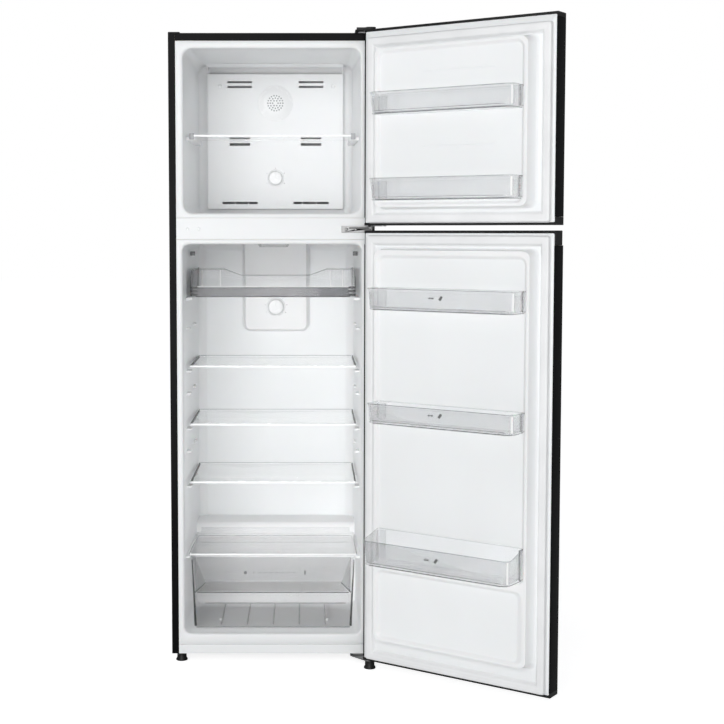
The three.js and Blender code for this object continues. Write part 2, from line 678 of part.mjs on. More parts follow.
function evaporationTray() {
  const { left, right, front, back, bottom, top, wall } = DRIP_TRAY;
  const section = (inset) => (
    rectangle(left + inset, right - inset, front + inset, back - inset, 12 - inset));
  return cut(prism(section(0), 'z', bottom, top), prism(section(wall), 'z', bottom + wall, top + 8));
}

function bayCover() {
  const half = CABINET.halfWidth - BACK_FLANGE - CLEARANCE;
  const outside = CABINET.depth;
  const vent = { count: 7, first: 90, pitch: 20, height: 7, halfLength: 50, columns: [-150, 0, 150] };
  const sheet = block(-half, half, outside - STEEL, outside, CABINET.base + 6, COMPRESSOR_BAY.top - 4);
  const vents = [];
  for (let row = 0; row < vent.count; row += 1) {
    const low = vent.first + row * vent.pitch;
    vent.columns.forEach((x) => {
      vents.push(block(x - vent.halfLength, x + vent.halfLength, outside - 5, outside + 5,
        low, low + vent.height));
    });
  }
  const gland = rod(CORD_GLAND.radius, 'y', outside - CORD_GLAND.depth, outside,
    CORD_GLAND.x, CORD_GLAND.z);
  return join(cut(sheet, ...vents), gland);
}

// ---------------------------------------------------------------- hinges, feet, rollers

function hingePin(from, to) {
  return rod(PIN_RADIUS, 'z', from, to, HINGE_X, HINGE_Y);
}

function topHinge() {
  const bottom = FREEZER_DOOR.top + 1;
  const arm = outline([
    [TOP_HINGE.left + 6, 62, 6], [TOP_HINGE.left + 6, 16, 6], [HINGE_X - 7, HINGE_Y - 6, 6],
    [HINGE_X + 7, HINGE_Y - 6, 6], [HINGE_X + 5, 62, 4],
  ]);
  const plate = prism(arm, 'z', bottom, bottom + TOP_HINGE.plate);
  const pad = block(TOP_HINGE.left + 8, HINGE_X + 3, 12, 60, CABINET.top + CLEARANCE, bottom + 1);
  return join(plate, pad, hingePin(FREEZER_DOOR.top - 11, bottom + 1));
}

function topHingeCover() {
  const plan = (inset) => outline([
    [TOP_HINGE.left + inset, 70 - inset, 8], [TOP_HINGE.left + inset, 8 + inset, 10],
    [HINGE_X - 14 + inset, HINGE_Y - 10 + inset, 9], [HINGE_X + 9 - inset, HINGE_Y - 10 + inset, 8],
    [HINGE_X + 9 - inset, 70 - inset, 5],
  ], 4);
  const floor = CABINET.top + CLEARANCE;
  const lid = cut(prism(plan(0), 'z', floor, TOP_HINGE.coverTop),
    prism(plan(2), 'z', floor - 1, TOP_HINGE.coverTop - 2));
  return cut(lid, block(100, 300, -100, -1, 0, FREEZER_DOOR.top + 1));
}

function midHinge() {
  const level = (FREEZER_DOOR.bottom + FRIDGE_DOOR.top) / 2;
  const wall = block(186, HINGE_X, -3, -CLEARANCE, 1177, 1195);
  const arm = outline([
    [204, -1], [HINGE_X - 8, HINGE_Y - 8, 6], [HINGE_X + 8, HINGE_Y - 8, 8],
    [HINGE_X + 8, HINGE_Y + 8, 8], [HINGE_X - 1, -1],
  ]);
  const plate = prism(arm, 'z', level - 1.6, level + 1.6);
  return join(wall, plate, hingePin(FRIDGE_DOOR.top - 11, FREEZER_DOOR.bottom + 11));
}

function bottomHinge() {
  const arm = outline([
    [212, 60, 6], [212, 2, 6], [HINGE_X - 12, HINGE_Y - 10, 8], [HINGE_X + 9, HINGE_Y - 10, 8],
    [HINGE_X + 7, 60, 6],
  ]);
  const plate = prism(arm, 'z', 21, 24.5);
  const pad = block(216, HINGE_X + 5, 8, 56, 23, CABINET.base - CLEARANCE);
  return join(plate, pad, hingePin(23, FRIDGE_DOOR.bottom + 11));
}

function levellingFoot(x, y, height, radius) {
  return turned([
    [0, 0], [radius + 3, 0], [radius + 3, 3], [radius, 8], [radius, height], [0, height],
  ], 'z', x, y, 0, 18);
}

function roller(side) {
  const { x, y, radius, halfWidth } = ROLLER;
  const axle = halfWidth + 6;
  const shaft = PIN_RADIUS - PIN_CLEARANCE;
  return turned([
    [0, -axle], [shaft, -axle], [shaft, -halfWidth], [radius - 2, -halfWidth],
    [radius, 1 - halfWidth], [radius, halfWidth - 1], [radius - 2, halfWidth],
    [shaft, halfWidth], [shaft, axle], [0, axle],
  ], 'x', side * x, y, radius, 20);
}

// ---------------------------------------------------------------- doors
// A door is drawn closed, in the cabinet's frame, and its group then swings it open.

const DOOR_BACK = -DOOR.gasketGap; // inner face of a closed door
const DOOR_FRONT = DOOR_BACK - DOOR.thickness;
const POCKET_FLOOR = DOOR_BACK + PLATEAU.rise - PLATEAU.pocketDrop;

function doorSkin(bottom, top) {
  const half = CABINET.halfWidth;
  const inner = half - STEEL;
  const lip = half - DOOR.rim;
  const radius = DOOR.edgeRadius;
  return prism(outline([
    [-half, DOOR_BACK], [-half, DOOR_FRONT, radius], [half, DOOR_FRONT, radius], [half, DOOR_BACK],
    [lip, DOOR_BACK], [lip, DOOR_BACK - STEEL], [inner, DOOR_BACK - STEEL],
    [inner, DOOR_FRONT + STEEL, radius - STEEL], [-inner, DOOR_FRONT + STEEL, radius - STEEL],
    [-inner, DOOR_BACK - STEEL], [-lip, DOOR_BACK - STEEL], [-lip, DOOR_BACK],
  ]), 'z', bottom, top);
}

function endCapPlan(setBack) {
  const half = CABINET.halfWidth;
  const radius = DOOR.edgeRadius;
  return outline([
    [-half, DOOR_BACK], [-half, DOOR_FRONT + setBack, radius],
    [half, DOOR_FRONT + setBack, radius], [half, DOOR_BACK],
  ]);
}

function fingerScoop(bottom, top) {
  const s = FINGER_SCOOP;
  const plan = rectangle(s.from, s.to, DOOR_FRONT - 20, DOOR_FRONT + s.depth, s.corner);
  return prism(plan, 'z', bottom, top);
}

// What the end caps leave free for the liner's flat border.
function linerSeat(bottom, top) {
  return block(-300, 300, DOOR_BACK - LINER - CLEARANCE, 0,
    bottom + LINER_MARGIN - CLEARANCE, top - LINER_MARGIN + CLEARANCE);
}

function pinHole(from, to) {
  return rod(PIN_RADIUS + PIN_CLEARANCE, 'z', from, to, HINGE_X, HINGE_Y);
}

function endCap(bottom, top, setBack = 0) {
  return cut(prism(endCapPlan(setBack), 'z', bottom, top), pinHole(bottom - 1, top + 1));
}

// The liner covers the door's inner side and rises as a plateau that fills the opening.
function plateau(edges, grow, from, to) {
  const outer = rectangle(edges.freeSide - grow, PLATEAU.hingeSide + grow, edges.bottom - grow,
    edges.top + grow, PLATEAU.corner + grow, 4);
  return prism(outer, 'y', from, to);
}

function doorLiner(door, edges, pockets) {
  const half = CABINET.halfWidth - DOOR.rim - CLEARANCE;
  const crest = DOOR_BACK + PLATEAU.rise;
  const sheet = block(-half, half, DOOR_BACK - LINER, DOOR_BACK, door.bottom + LINER_MARGIN,
    door.top - LINER_MARGIN);
  const shell = join(sheet, plateau(edges, 0, DOOR_BACK - 1, crest));
  const pocketTub = (pocket, grow, floor) => (
    prism(rectangle(pocket.freeSide - grow, POCKET_HINGE_SIDE + grow, pocket.bottom - grow,
      pocket.top + grow, 20 + grow, 4), 'y', floor, crest + 5));
  const hollow = cut(plateau(edges, -LINER, DOOR_BACK - 5, crest - LINER),
    ...pockets.map((pocket) => pocketTub(pocket, LINER, POCKET_FLOOR - LINER)));
  return cut(shell, hollow, ...pockets.map((pocket) => pocketTub(pocket, 0, POCKET_FLOOR)));
}

function doorFoam(bottom, top, edges) {
  const half = CABINET.halfWidth - STEEL - CLEARANCE;
  const front = DOOR_FRONT + STEEL + CLEARANCE;
  const slab = prism(outline([
    [-half, DOOR_BACK - LINER - CLEARANCE], [-half, front, 5], [half, front, 5],
    [half, DOOR_BACK - LINER - CLEARANCE],
  ]), 'z', bottom, top);
  const core = plateau(edges, -LINER - CLEARANCE, DOOR_BACK - LINER - 1,
    POCKET_FLOOR - LINER - CLEARANCE);
  return join(slab, core);
}

function doorGasket(bottom, top) {
  const { halfWidth, width } = GASKET;
  const section = (inset) => (
    rectangle(-halfWidth + inset, halfWidth - inset, bottom + inset, top - inset, Math.max(3, 9 - inset)));
  const from = DOOR_BACK + CLEARANCE;
  const ring = cut(prism(section(0), 'y', from, -2 * CLEARANCE),
    prism(section(width), 'y', from - 1, 1));
  return cut(ring, block(-300, 300, from - 1, -5, bottom - 10, top + 10)
    .intersect(cut(prism(section(-1), 'y', from - 1, -5), prism(section(4), 'y', from - 2, -4))));
}

function doorBin({ bottom, top, reach }, pocket, frontDip = 0) {
  const hingeSide = BIN_HINGE_END;
  const freeSide = pocket.freeSide + BIN_FREE_GAP;
  const back = POCKET_FLOOR + CLEARANCE;
  const front = DOOR_BACK + reach;
  const plan = (inset, draft) => outline([
    [freeSide + inset + draft, back + inset, 3], [hingeSide - inset - draft, back + inset, 3],
    [hingeSide - inset - draft, front - inset - draft, 20 - inset],
    [freeSide + inset + draft, front - inset - draft, 20 - inset],
  ], 4);
  const outer = loft(plan(0, 4), bottom, plan(0, 0), top);
  const inner = loft(plan(BIN_WALL, 4), bottom + BIN_WALL, plan(BIN_WALL, 0), top + 0.5);
  const tub = cut(outer, inner);
  if (!frontDip) return tub;
  const dip = outline([
    [back + 34, top + 5], [back + 34, top - 1, 8], [front - 6, top - frontDip, 12],
    [front + 10, top - frontDip], [front + 10, top + 5],
  ]);
  return cut(tub, prism(dip, 'x', -300, 300));
}

function doorStop() {
  const under = FREEZER_DOOR.bottom - CLEARANCE;
  const tongue = outline([
    [HINGE_X - 48, HINGE_Y + 18, 4], [HINGE_X - 48, HINGE_Y + 2, 4], [HINGE_X - 14, HINGE_Y - 4],
    [HINGE_X - 14, HINGE_Y + 18],
  ]);
  return prism(tongue, 'z', under - 2, under);
}

function swungDoor() {
  const door = new THREE.Group();
  door.position.set(HINGE_X, HINGE_Y, 0);
  door.rotation.z = THREE.MathUtils.degToRad(DOOR.openDegrees);
  return door;
}

function addDoorPart(door, name, solid, material) {
  addPart(door, name, solid, material);
  door.children.at(-1).geometry.translate(-HINGE_X, -HINGE_Y, 0);
}

function freezerDoor() {
  const { bottom, top } = FREEZER_DOOR;
  const door = swungDoor();
  const lowerCapTop = bottom + LOWER_CAP;
  const upperCapBottom = top - END_CAP;
  const edges = FREEZER_PLATEAU;
  const low = lowerCapTop + CLEARANCE;
  const high = upperCapBottom - CLEARANCE;
  const scoop = fingerScoop(bottom - 1, lowerCapTop - 5);
  addDoorPart(door, 'freezer_door_skin', doorSkin(low, high), BLACK_STEEL());
  const seat = linerSeat(bottom, top);
  addDoorPart(door, 'freezer_door_bottom_cap', cut(endCap(bottom, lowerCapTop), scoop, seat),
    BLACK_PLASTIC());
  addDoorPart(door, 'freezer_door_top_cap', cut(endCap(upperCapBottom, top), seat), BLACK_PLASTIC());
  addDoorPart(door, 'freezer_door_foam', doorFoam(low, high, edges), FOAM());
  addDoorPart(door, 'freezer_door_liner', doorLiner(FREEZER_DOOR, edges, FREEZER_POCKETS),
    WHITE_LINER());
  addDoorPart(door, 'freezer_door_gasket',
    doorGasket(bottom + GASKET.endMargin, top - GASKET.endMargin - 16), WHITE_RUBBER());
  addDoorPart(door, 'freezer_door_stop', doorStop(), GALVANISED());
  FREEZER_BINS.forEach((bin) => (
    addDoorPart(door, bin.name, doorBin(bin, FREEZER_POCKETS[0]), CLEAR_PLASTIC())));
  return door;
}

function fridgeDoor() {
  const { bottom, top } = FRIDGE_DOOR;
  const door = swungDoor();
  const lowerCapTop = bottom + END_CAP;
  const upperCapBottom = top - HANDLE_CAP.height;
  const edges = FRIDGE_PLATEAU;
  const low = lowerCapTop + CLEARANCE;
  const high = upperCapBottom - CLEARANCE;
  const seat = linerSeat(bottom, top);
  const scoop = fingerScoop(top - FINGER_SCOOP.height, top + 1);
  addDoorPart(door, 'fridge_door_skin', doorSkin(low, high), BLACK_STEEL());
  addDoorPart(door, 'fridge_door_handle_cap',
    cut(endCap(upperCapBottom, top, HANDLE_CAP.setBack), scoop, seat), BLACK_PLASTIC());
  addDoorPart(door, 'fridge_door_bottom_cap', cut(endCap(bottom, lowerCapTop), seat), BLACK_PLASTIC());
  addDoorPart(door, 'fridge_door_foam', doorFoam(low, high, edges), FOAM());
  addDoorPart(door, 'fridge_door_liner', doorLiner(FRIDGE_DOOR, edges, FRIDGE_POCKETS),
    WHITE_LINER());
  addDoorPart(door, 'fridge_door_gasket',
    doorGasket(bottom + GASKET.endMargin, top - GASKET.endMargin - 6), WHITE_RUBBER());
  FRIDGE_BINS.forEach((bin) => {
    const dip = bin.name === 'bottle_bin' ? 18 : 0;
    addDoorPart(door, bin.name, doorBin(bin, FRIDGE_POCKETS[0], dip), CLEAR_PLASTIC());
  });
  return door;
}

// ---------------------------------------------------------------- assembly

function assemble() {
  const fridge = new THREE.Group();
  addPart(fridge, 'side_panel_left', sidePanel(-1), BLACK_STEEL());
  addPart(fridge, 'side_panel_right', sidePanel(1), BLACK_STEEL());
  addPart(fridge, 'top_panel', topPanel(), BLACK_STEEL());
  addPart(fridge, 'back_panel', backPanel(), GALVANISED());
  addPart(fridge, 'base_plate', basePlate(), GALVANISED());
  addPart(fridge, 'bay_partition', bayPartition(), GALVANISED());
  addPart(fridge, 'cabinet_foam', cabinetFoam(), FOAM());
  addPart(fridge, 'freezer_liner', freezerLiner(), WHITE_LINER());
  addPart(fridge, 'fridge_liner', fridgeLiner(), WHITE_LINER());
  addPart(fridge, 'mullion_cover', mullionCover(), WHITE_LINER());
  addPart(fridge, 'kick_plate', kickPlate(), WHITE_LINER());

  addPart(fridge, 'evaporator_cover', evaporatorCover(), WHITE_LINER());
  addPart(fridge, 'fan_grille', fanGrille(), WHITE_LINER());
  addPart(fridge, 'evaporator_fan', evaporatorFan(), WHITE_LINER());
  addPart(fridge, 'fan_motor', fanMotor(), BLACK_PLASTIC());
  addPart(fridge, 'evaporator_coil', evaporatorCoil(), ALUMINIUM());
  addPart(fridge, 'freezer_knob', controlKnob(FREEZER_KNOB.z, EVAPORATOR_COVER.front, FREEZER_KNOB),
    WHITE_LINER());
  addPart(fridge, 'freezer_shelf', freezerShelf(), GLASS());
  addPart(fridge, 'freezer_shelf_trim', freezerShelfTrim(), GREY_TRIM());

  addPart(fridge, 'duct_cover', ductCover(), WHITE_LINER());
  addPart(fridge, 'fridge_knob', controlKnob(FRIDGE_KNOB.z, DUCT_COVER.front, FRIDGE_KNOB), WHITE_LINER());
  addPart(fridge, 'lamp_cover', lampCover(), CLEAR_PLASTIC());
  addPart(fridge, 'chiller_tray', chillerTray(), SMOKY_PLASTIC());
  GLASS_SHELF_TOPS.forEach((top, index) => {
    addPart(fridge, `glass_shelf_${index + 1}`, shelfGlass(top), GLASS());
    addPart(fridge, `shelf_trim_${index + 1}`, shelfTrim(top), GREY_TRIM());
  });
  addPart(fridge, 'crisper_cover', crisperCover(), CLEAR_PLASTIC());
  addPart(fridge, 'crisper_drawer', crisperDrawer(), SMOKY_PLASTIC());

  addPart(fridge, 'compressor', compressor(), BLACK_STEEL());
  addPart(fridge, 'evaporation_tray', evaporationTray(), BLACK_PLASTIC());
  addPart(fridge, 'bay_cover', bayCover(), BLACK_PLASTIC());
  addPart(fridge, 'top_hinge', topHinge(), GALVANISED());
  addPart(fridge, 'top_hinge_cover', topHingeCover(), BLACK_PLASTIC());
  addPart(fridge, 'mid_hinge', midHinge(), BRIGHT_STEEL());
  addPart(fridge, 'bottom_hinge', bottomHinge(), BRIGHT_STEEL());
  addPart(fridge, 'front_foot_left',
    levellingFoot(LEFT_FOOT.x, LEFT_FOOT.y, CABINET.base - CLEARANCE, LEFT_FOOT.radius), BLACK_PLASTIC());
  addPart(fridge, 'front_foot_right', levellingFoot(HINGE_X - 2, HINGE_Y, 21 - CLEARANCE, 13),
    BLACK_PLASTIC());
  addPart(fridge, 'rear_roller_left', roller(-1), BLACK_PLASTIC());
  addPart(fridge, 'rear_roller_right', roller(1), BLACK_PLASTIC());
  fridge.add(freezerDoor());
  fridge.add(fridgeDoor());

  const middle = new THREE.Box3().setFromObject(fridge, true).getCenter(new THREE.Vector3());
  fridge.position.set(-middle.x, -middle.y, 0);
  return fridge;
}

export default assemble();
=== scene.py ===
"""A two-door refrigerator with the freezer on top: the looks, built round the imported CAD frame.

Every piece is drawn in millimetres in the cabinet's own axes: x = 0 midway between the side
panels, y = 0 in the plane of the cabinet's front edges, z = 0 on the floor. A door's pieces
are drawn with the door closed. finish_piece() then moves them into the frame, in metres.
"""
import json
import math

import bmesh
import bpy
from mathutils import Matrix, Vector
from mathutils.geometry import tessellate_polygon


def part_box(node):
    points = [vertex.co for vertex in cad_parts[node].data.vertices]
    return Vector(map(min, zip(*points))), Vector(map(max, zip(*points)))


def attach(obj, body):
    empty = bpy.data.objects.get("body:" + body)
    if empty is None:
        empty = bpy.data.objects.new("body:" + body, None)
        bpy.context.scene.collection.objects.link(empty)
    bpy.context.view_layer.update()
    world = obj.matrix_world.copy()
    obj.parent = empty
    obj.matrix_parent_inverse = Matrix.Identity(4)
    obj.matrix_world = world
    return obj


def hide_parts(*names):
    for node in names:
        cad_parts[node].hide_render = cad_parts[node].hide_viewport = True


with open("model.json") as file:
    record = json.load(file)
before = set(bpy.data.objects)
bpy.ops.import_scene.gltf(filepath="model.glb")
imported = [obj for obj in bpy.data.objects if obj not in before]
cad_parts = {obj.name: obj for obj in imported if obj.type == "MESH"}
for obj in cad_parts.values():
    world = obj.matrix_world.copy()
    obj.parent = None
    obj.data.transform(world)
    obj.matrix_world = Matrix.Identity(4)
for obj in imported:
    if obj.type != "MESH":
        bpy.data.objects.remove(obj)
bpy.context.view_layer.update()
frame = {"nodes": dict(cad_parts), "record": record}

MM = 0.001

# ---- places, from the frame

LEFT_LOW, LEFT_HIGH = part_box("side_panel_left")
RIGHT_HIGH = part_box("side_panel_right")[1]
ORIGIN = Vector(((LEFT_LOW[0] + RIGHT_HIGH[0]) / 2, LEFT_LOW[1], 0))
JOINTS = {joint["name"]: joint for joint in frame["record"]["behaviour"]["joints"]}


def cad(node):
    """A CAD node's lowest and highest corners at rest, in the cabinet's millimetres."""
    return [[(value - start) / MM for value, start in zip(corner, ORIGIN)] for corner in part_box(node)]


def heights(node):
    """A CAD node's lowest and highest z. A door's swing leaves them as they are."""
    low, high = cad(node)
    return low[2], high[2]


DOOR_HINGE = JOINTS["fridge_door_hinge"]
HINGE_X = (DOOR_HINGE["pos_m"][0] - ORIGIN.x) / MM
HINGE_Y = (DOOR_HINGE["pos_m"][1] - ORIGIN.y) / MM
OPEN_ANGLE = -math.radians(DOOR_HINGE["range_deg"][0])

HALF = (RIGHT_HIGH[0] - LEFT_LOW[0]) / 2 / MM  # half the cabinet's width
TOP = LEFT_HIGH[2] / MM
FACE_HALF = cad("mullion_cover")[1][0]  # half the width of the white face between the side flanges

# Sizes that the frame's boxes don't give, in millimetres
STEEL = 0.8
FREEZER = {"half": 236, "back_half": 226, "low": 1229, "high": 1665, "depth": 420, "corner": 24}
FRIDGE = {"half": 240, "back_half": 232, "low": 84, "high": 1146, "depth": 450, "corner": 19}
BACK_CORNER = 26
DOOR_BACK = -12
DOOR_FRONT = -60
PLATEAU = {"right": 233, "rise": 28, "pocket": 7, "corner": 24}  # on a door's inner side
DOORS = {
    "freezer_door": {"left": -232, "low": 1236, "high": 1658, "pocket_left": -199,
                     "pockets": [(1250, 1644)], "ridges": [1397, 1585]},
    "fridge_door": {"left": -242, "low": 91, "high": 1139, "pocket_left": -211,
                    "pockets": [(306, 1118), (104, 288)], "ridges": []},
}
CREST = DOOR_BACK + PLATEAU["rise"]
POCKET_FLOOR = CREST - PLATEAU["pocket"]
POCKET_RIGHT = 217.5
BIN_BACK = POCKET_FLOOR + 0.3
BIN_RIGHT = 215
SPARE_LEVELS = (916, 735, 574)  # other heights that a glass shelf can take
SHELF_LUGS = ((87, 128), (262, 310))  # front and back of the lugs that carry a glass shelf
FREEZER_RIB = (72, 312)  # front and back of the ribs that carry the freezer's shelf,
CHILLER_RIB = (84, 384)  # of those that carry the chiller tray,
COVER_RIB = (40, 318)  # and of those that carry the crisper's cover
BAY_RECT = (-190, 190, 1250, 1640, 10)  # the recess in the freezer's back, with its corners' radius
HUMP_TOP = 320  # height of the step over the compressor
DUCT_BEND = 1047  # height at which the air duct starts to lean out
DUCT_FRONT = 420
GRIP_LEDGE = (189, 207)  # height of the crisper drawer's sloping ledge at its front and back

TO_FRAME = Matrix.Translation(ORIGIN) @ Matrix.Scale(MM, 4)
HINGE_LINE = Matrix.Translation((HINGE_X, HINGE_Y, 0))
SWUNG_OPEN = TO_FRAME @ HINGE_LINE @ Matrix.Rotation(OPEN_ANGLE, 4, "Z") @ HINGE_LINE.inverted()

# ---- node materials


class Nodes:
    """One material's node tree, with short calls for the nodes used here."""

    def __init__(self, name):
        self.material = bpy.data.materials.new(name)
        self.material.use_nodes = True
        self.tree = self.material.node_tree
        self.shader = self.tree.nodes["Principled BSDF"]
        self.place = self.tree.nodes.new("ShaderNodeTexCoord").outputs["Object"]

    def add(self, kind, socket, source, **values):
        """Adds a node with these input values, whose socket is fed by another node's output."""
        node = self.tree.nodes.new(kind)
        for key, value in values.items():
            node.inputs[key.replace("_", " ")].default_value = value
        self.tree.links.new(source, node.inputs[socket])
        return node

    def drive(self, socket, output):
        """Links an output to one of the shader's sockets."""
        self.tree.links.new(output, self.shader.inputs[socket])

    def noise(self, scale, detail, stretch=None):
        """Noise over the object; stretch scales its three axes, for brushed or drawn grain."""
        source = self.place
        if stretch:
            source = self.add("ShaderNodeMapping", "Vector", source, Scale=stretch).outputs["Vector"]
        return self.add("ShaderNodeTexNoise", "Vector", source, Scale=scale, Detail=detail).outputs["Fac"]

    def ramp(self, factor, low, high, start=0.35, end=0.65):
        """Colours from low to high as the factor goes from start to end."""
        node = self.add("ShaderNodeValToRGB", "Fac", factor)
        for element, place, colour in zip(node.color_ramp.elements, (start, end), (low, high)):
            element.position = place
            element.color = (*colour, 1)
        return node.outputs["Color"]

    def spread(self, factor, low, high):
        """The factor's 0 to 1 spread over low to high."""
        return self.add("ShaderNodeMapRange", "Value", factor, To_Min=low, To_Max=high).outputs["Result"]

    def bump(self, height, strength, distance):
        node = self.add("ShaderNodeBump", "Height", height, Strength=strength, Distance=distance)
        self.drive("Normal", node.outputs["Normal"])

    def set(self, **values):
        for key, value in values.items():
            self.shader.inputs[key.replace("_", " ")].default_value = value


def grey(value, blue=0.0):
    return (value, value, value + blue)


def plastic(name, low, high, rough, grain=900, grain_height=0.00003, blotch=6):
    """Moulded plastic: a slow drift of colour, a fine grain and an uneven gloss."""
    nodes = Nodes(name)
    nodes.drive("Base Color", nodes.ramp(nodes.noise(blotch, 2), low, high))
    nodes.drive("Roughness", nodes.spread(nodes.noise(35, 4), rough - 0.05, rough + 0.06))
    nodes.bump(nodes.noise(grain, 2), 0.25, grain_height)
    return nodes


def white_liner():
    """Vacuum-formed polystyrene: cool white, softly glossy, with a faint drawn ripple."""
    nodes = plastic("white_liner", (0.83, 0.835, 0.84), (0.87, 0.875, 0.88), 0.34, 260, 0.00004, 2.2)
    nodes.set(Subsurface_Weight=0.04, Subsurface_Scale=0.01, IOR=1.5, Specular_IOR_Level=0.2)
    return nodes.material


def bright_white():
    """Injection-moulded white of the covers and knobs."""
    nodes = plastic("white_moulding", (0.83, 0.84, 0.845), (0.87, 0.875, 0.88), 0.26, 700, 0.00002, 3)
    nodes.set(IOR=1.5)
    return nodes.material


def white_rubber():
    return plastic("white_rubber", (0.78, 0.785, 0.79), (0.83, 0.835, 0.84), 0.5, 1300, 0.00003, 9).material


def black_plastic():
    nodes = plastic("black_plastic", grey(0.008), grey(0.014), 0.42, 1500, 0.00005, 12)
    nodes.set(Specular_IOR_Level=0.22)
    return nodes.material


def black_paint():
    """Baked black paint on steel: deep and glossy, with a very fine orange peel."""
    nodes = Nodes("black_paint")
    colour = nodes.ramp(nodes.noise(4, 2), (0.0035, 0.0035, 0.004), (0.006, 0.006, 0.0065))
    nodes.drive("Base Color", colour)
    nodes.drive("Roughness", nodes.spread(nodes.noise(18, 5), 0.22, 0.32))
    nodes.bump(nodes.noise(320, 2), 0.12, 0.00004)
    nodes.set(Specular_IOR_Level=0.06, IOR=1.4)
    return nodes.material


def brushed(name, low, high, rough, stretch):
    """Sheet metal with a fine grain along one axis."""
    nodes = Nodes(name)
    grain = nodes.noise(60, 4, stretch)
    nodes.drive("Base Color", nodes.ramp(grain, low, high))
    nodes.drive("Roughness", nodes.spread(grain, rough - 0.08, rough + 0.1))
    nodes.bump(grain, 0.15, 0.00003)
    nodes.set(Metallic=1.0)
    return nodes.material


def galvanised():
    """Zinc-coated sheet, with its pale spangle."""
    nodes = Nodes("galvanised")
    spangle = nodes.add("ShaderNodeTexVoronoi", "Vector", nodes.place, Scale=90).outputs["Distance"]
    colour = nodes.ramp(spangle, grey(0.42, 0.01), grey(0.55, 0.01), 0.1, 0.7)
    nodes.drive("Base Color", colour)
    nodes.drive("Roughness", nodes.spread(nodes.noise(24, 4), 0.3, 0.48))
    nodes.bump(spangle, 0.08, 0.00002)
    nodes.set(Metallic=0.9)
    return nodes.material


def see_through(name, low, high, rough, alpha, sheen=0.5, index=1.46):
    """Clear moulding or glass: tinted transmission, with faint flow marks in the surface."""
    nodes = Nodes(name)
    nodes.drive("Base Color", nodes.ramp(nodes.noise(5, 2), low, high))
    nodes.drive("Roughness", nodes.spread(nodes.noise(40, 3), rough * 0.6, rough * 1.6))
    nodes.bump(nodes.noise(26, 2), 0.1, 0.0001)
    nodes.set(Transmission_Weight=1.0, IOR=index, Alpha=alpha, Specular_IOR_Level=sheen)
    return nodes.material


def foam():
    """Blown polyurethane, with its open cut cells."""
    nodes = Nodes("foam")
    cells = nodes.noise(400, 3)
    colour = nodes.ramp(cells, (0.72, 0.60, 0.33), (0.84, 0.74, 0.48))
    nodes.drive("Base Color", colour)
    nodes.bump(cells, 0.6, 0.0006)
    nodes.set(Roughness=0.9)
    return nodes.material


def printed():
    """Grey ink of the small marks."""
    nodes = Nodes("printed_mark")
    nodes.drive("Base Color", nodes.ramp(nodes.noise(900, 2), grey(0.10), grey(0.16)))
    nodes.set(Roughness=0.5)
    return nodes.material


def pale_floor():
    """The studio floor: white paper that meets the white behind it, but bounces little light."""
    nodes = Nodes("studio_floor")
    nodes.drive("Base Color", nodes.ramp(nodes.noise(3, 2), grey(0.66), grey(0.70)))
    nodes.set(Roughness=0.9, Emission_Color=(1, 1, 1, 1))
    seen = nodes.tree.nodes.new("ShaderNodeLightPath")
    nodes.drive("Emission Strength", nodes.spread(seen.outputs["Is Camera Ray"], 0.06, 0.8))
    return nodes.material


WHITE = white_liner()
MOULDING = bright_white()
RUBBER = white_rubber()
BLACK = black_plastic()
PAINT = black_paint()
ZINC = galvanised()
CHROME = brushed("bright_steel", grey(0.24), grey(0.36), 0.46, (1, 1, 14))
ALUMINIUM = brushed("aluminium", grey(0.60), grey(0.74), 0.3, (1, 12, 1))
CLEAR = see_through("clear_plastic", (0.52, 0.525, 0.535), (0.58, 0.585, 0.595), 0.06, 0.33, 0.1)
# A darker copy of the clear plastic: painted shade where clear edges look dark.
CLEAR_PAINTED_SHADE = see_through("clear_plastic_painted_shade", (0.22, 0.23, 0.24), (0.30, 0.31, 0.32), 0.06, 0.45)
SMOKE = see_through("smoky_plastic", (0.38, 0.385, 0.395), (0.44, 0.445, 0.455), 0.09, 0.36)
# Paler, clearer copies of the smoky plastic: painted light that lifts the shade under the drawer's ledge
# and on its floor.
SMOKE_PAINTED_LIGHT = see_through("smoky_plastic_painted_light", (0.46, 0.465, 0.475), (0.52, 0.525, 0.535), 0.09, 0.10)
SMOKE_PAINTED_LIGHT_CLEARER = see_through("smoky_plastic_painted_light_clearer", grey(0.55), grey(0.62), 0.1, 0.05)
# Dark smoky plastic of the tray's front band, also painted shade in strips inside its side walls.
SMOKE_BAND_AND_PAINTED_SHADE = see_through("smoky_plastic_band_and_painted_shade", (0.10, 0.10, 0.11), (0.13, 0.13, 0.14), 0.1, 0.54)
# Near-black smoky plastic of the dark stops and end blocks, also painted shade in lines along clear edges.
SMOKE_DARK_AND_PAINTED_SHADE = see_through("smoky_plastic_dark_and_painted_shade", (0.05, 0.05, 0.055), (0.07, 0.07, 0.075), 0.1, 0.75)
# Pale moulding that is painted highlight: bright strips on clear plastic edges stand in for glints.
PAINTED_HIGHLIGHT = plastic("clear_plastic_painted_highlight", grey(0.86), grey(0.92), 0.2).material
CLEAR_BLOCK = see_through("clear_plastic_block", (0.42, 0.43, 0.44), (0.62, 0.63, 0.64), 0.1, 0.26)
# A near-black copy of the clear plastic for lines of painted shade along the bins' edges.
CLEAR_PAINTED_SHADE_LINE = see_through("clear_plastic_painted_shade_line", (0.10, 0.10, 0.11), (0.14, 0.14, 0.15), 0.1, 0.62)
GLASS = see_through("shelf_glass", (0.93, 0.95, 0.945), (0.95, 0.965, 0.96), 0.015, 0.14, index=1.5)
GREY_TRIM = plastic("grey_trim", (0.30, 0.31, 0.32), (0.36, 0.37, 0.38), 0.3, 800, 0.00002, 8).material
FOAM = foam()
RAIL = plastic("rail_trim", grey(0.055), grey(0.08), 0.4, 800, 0.00002, 8).material
INK = printed()

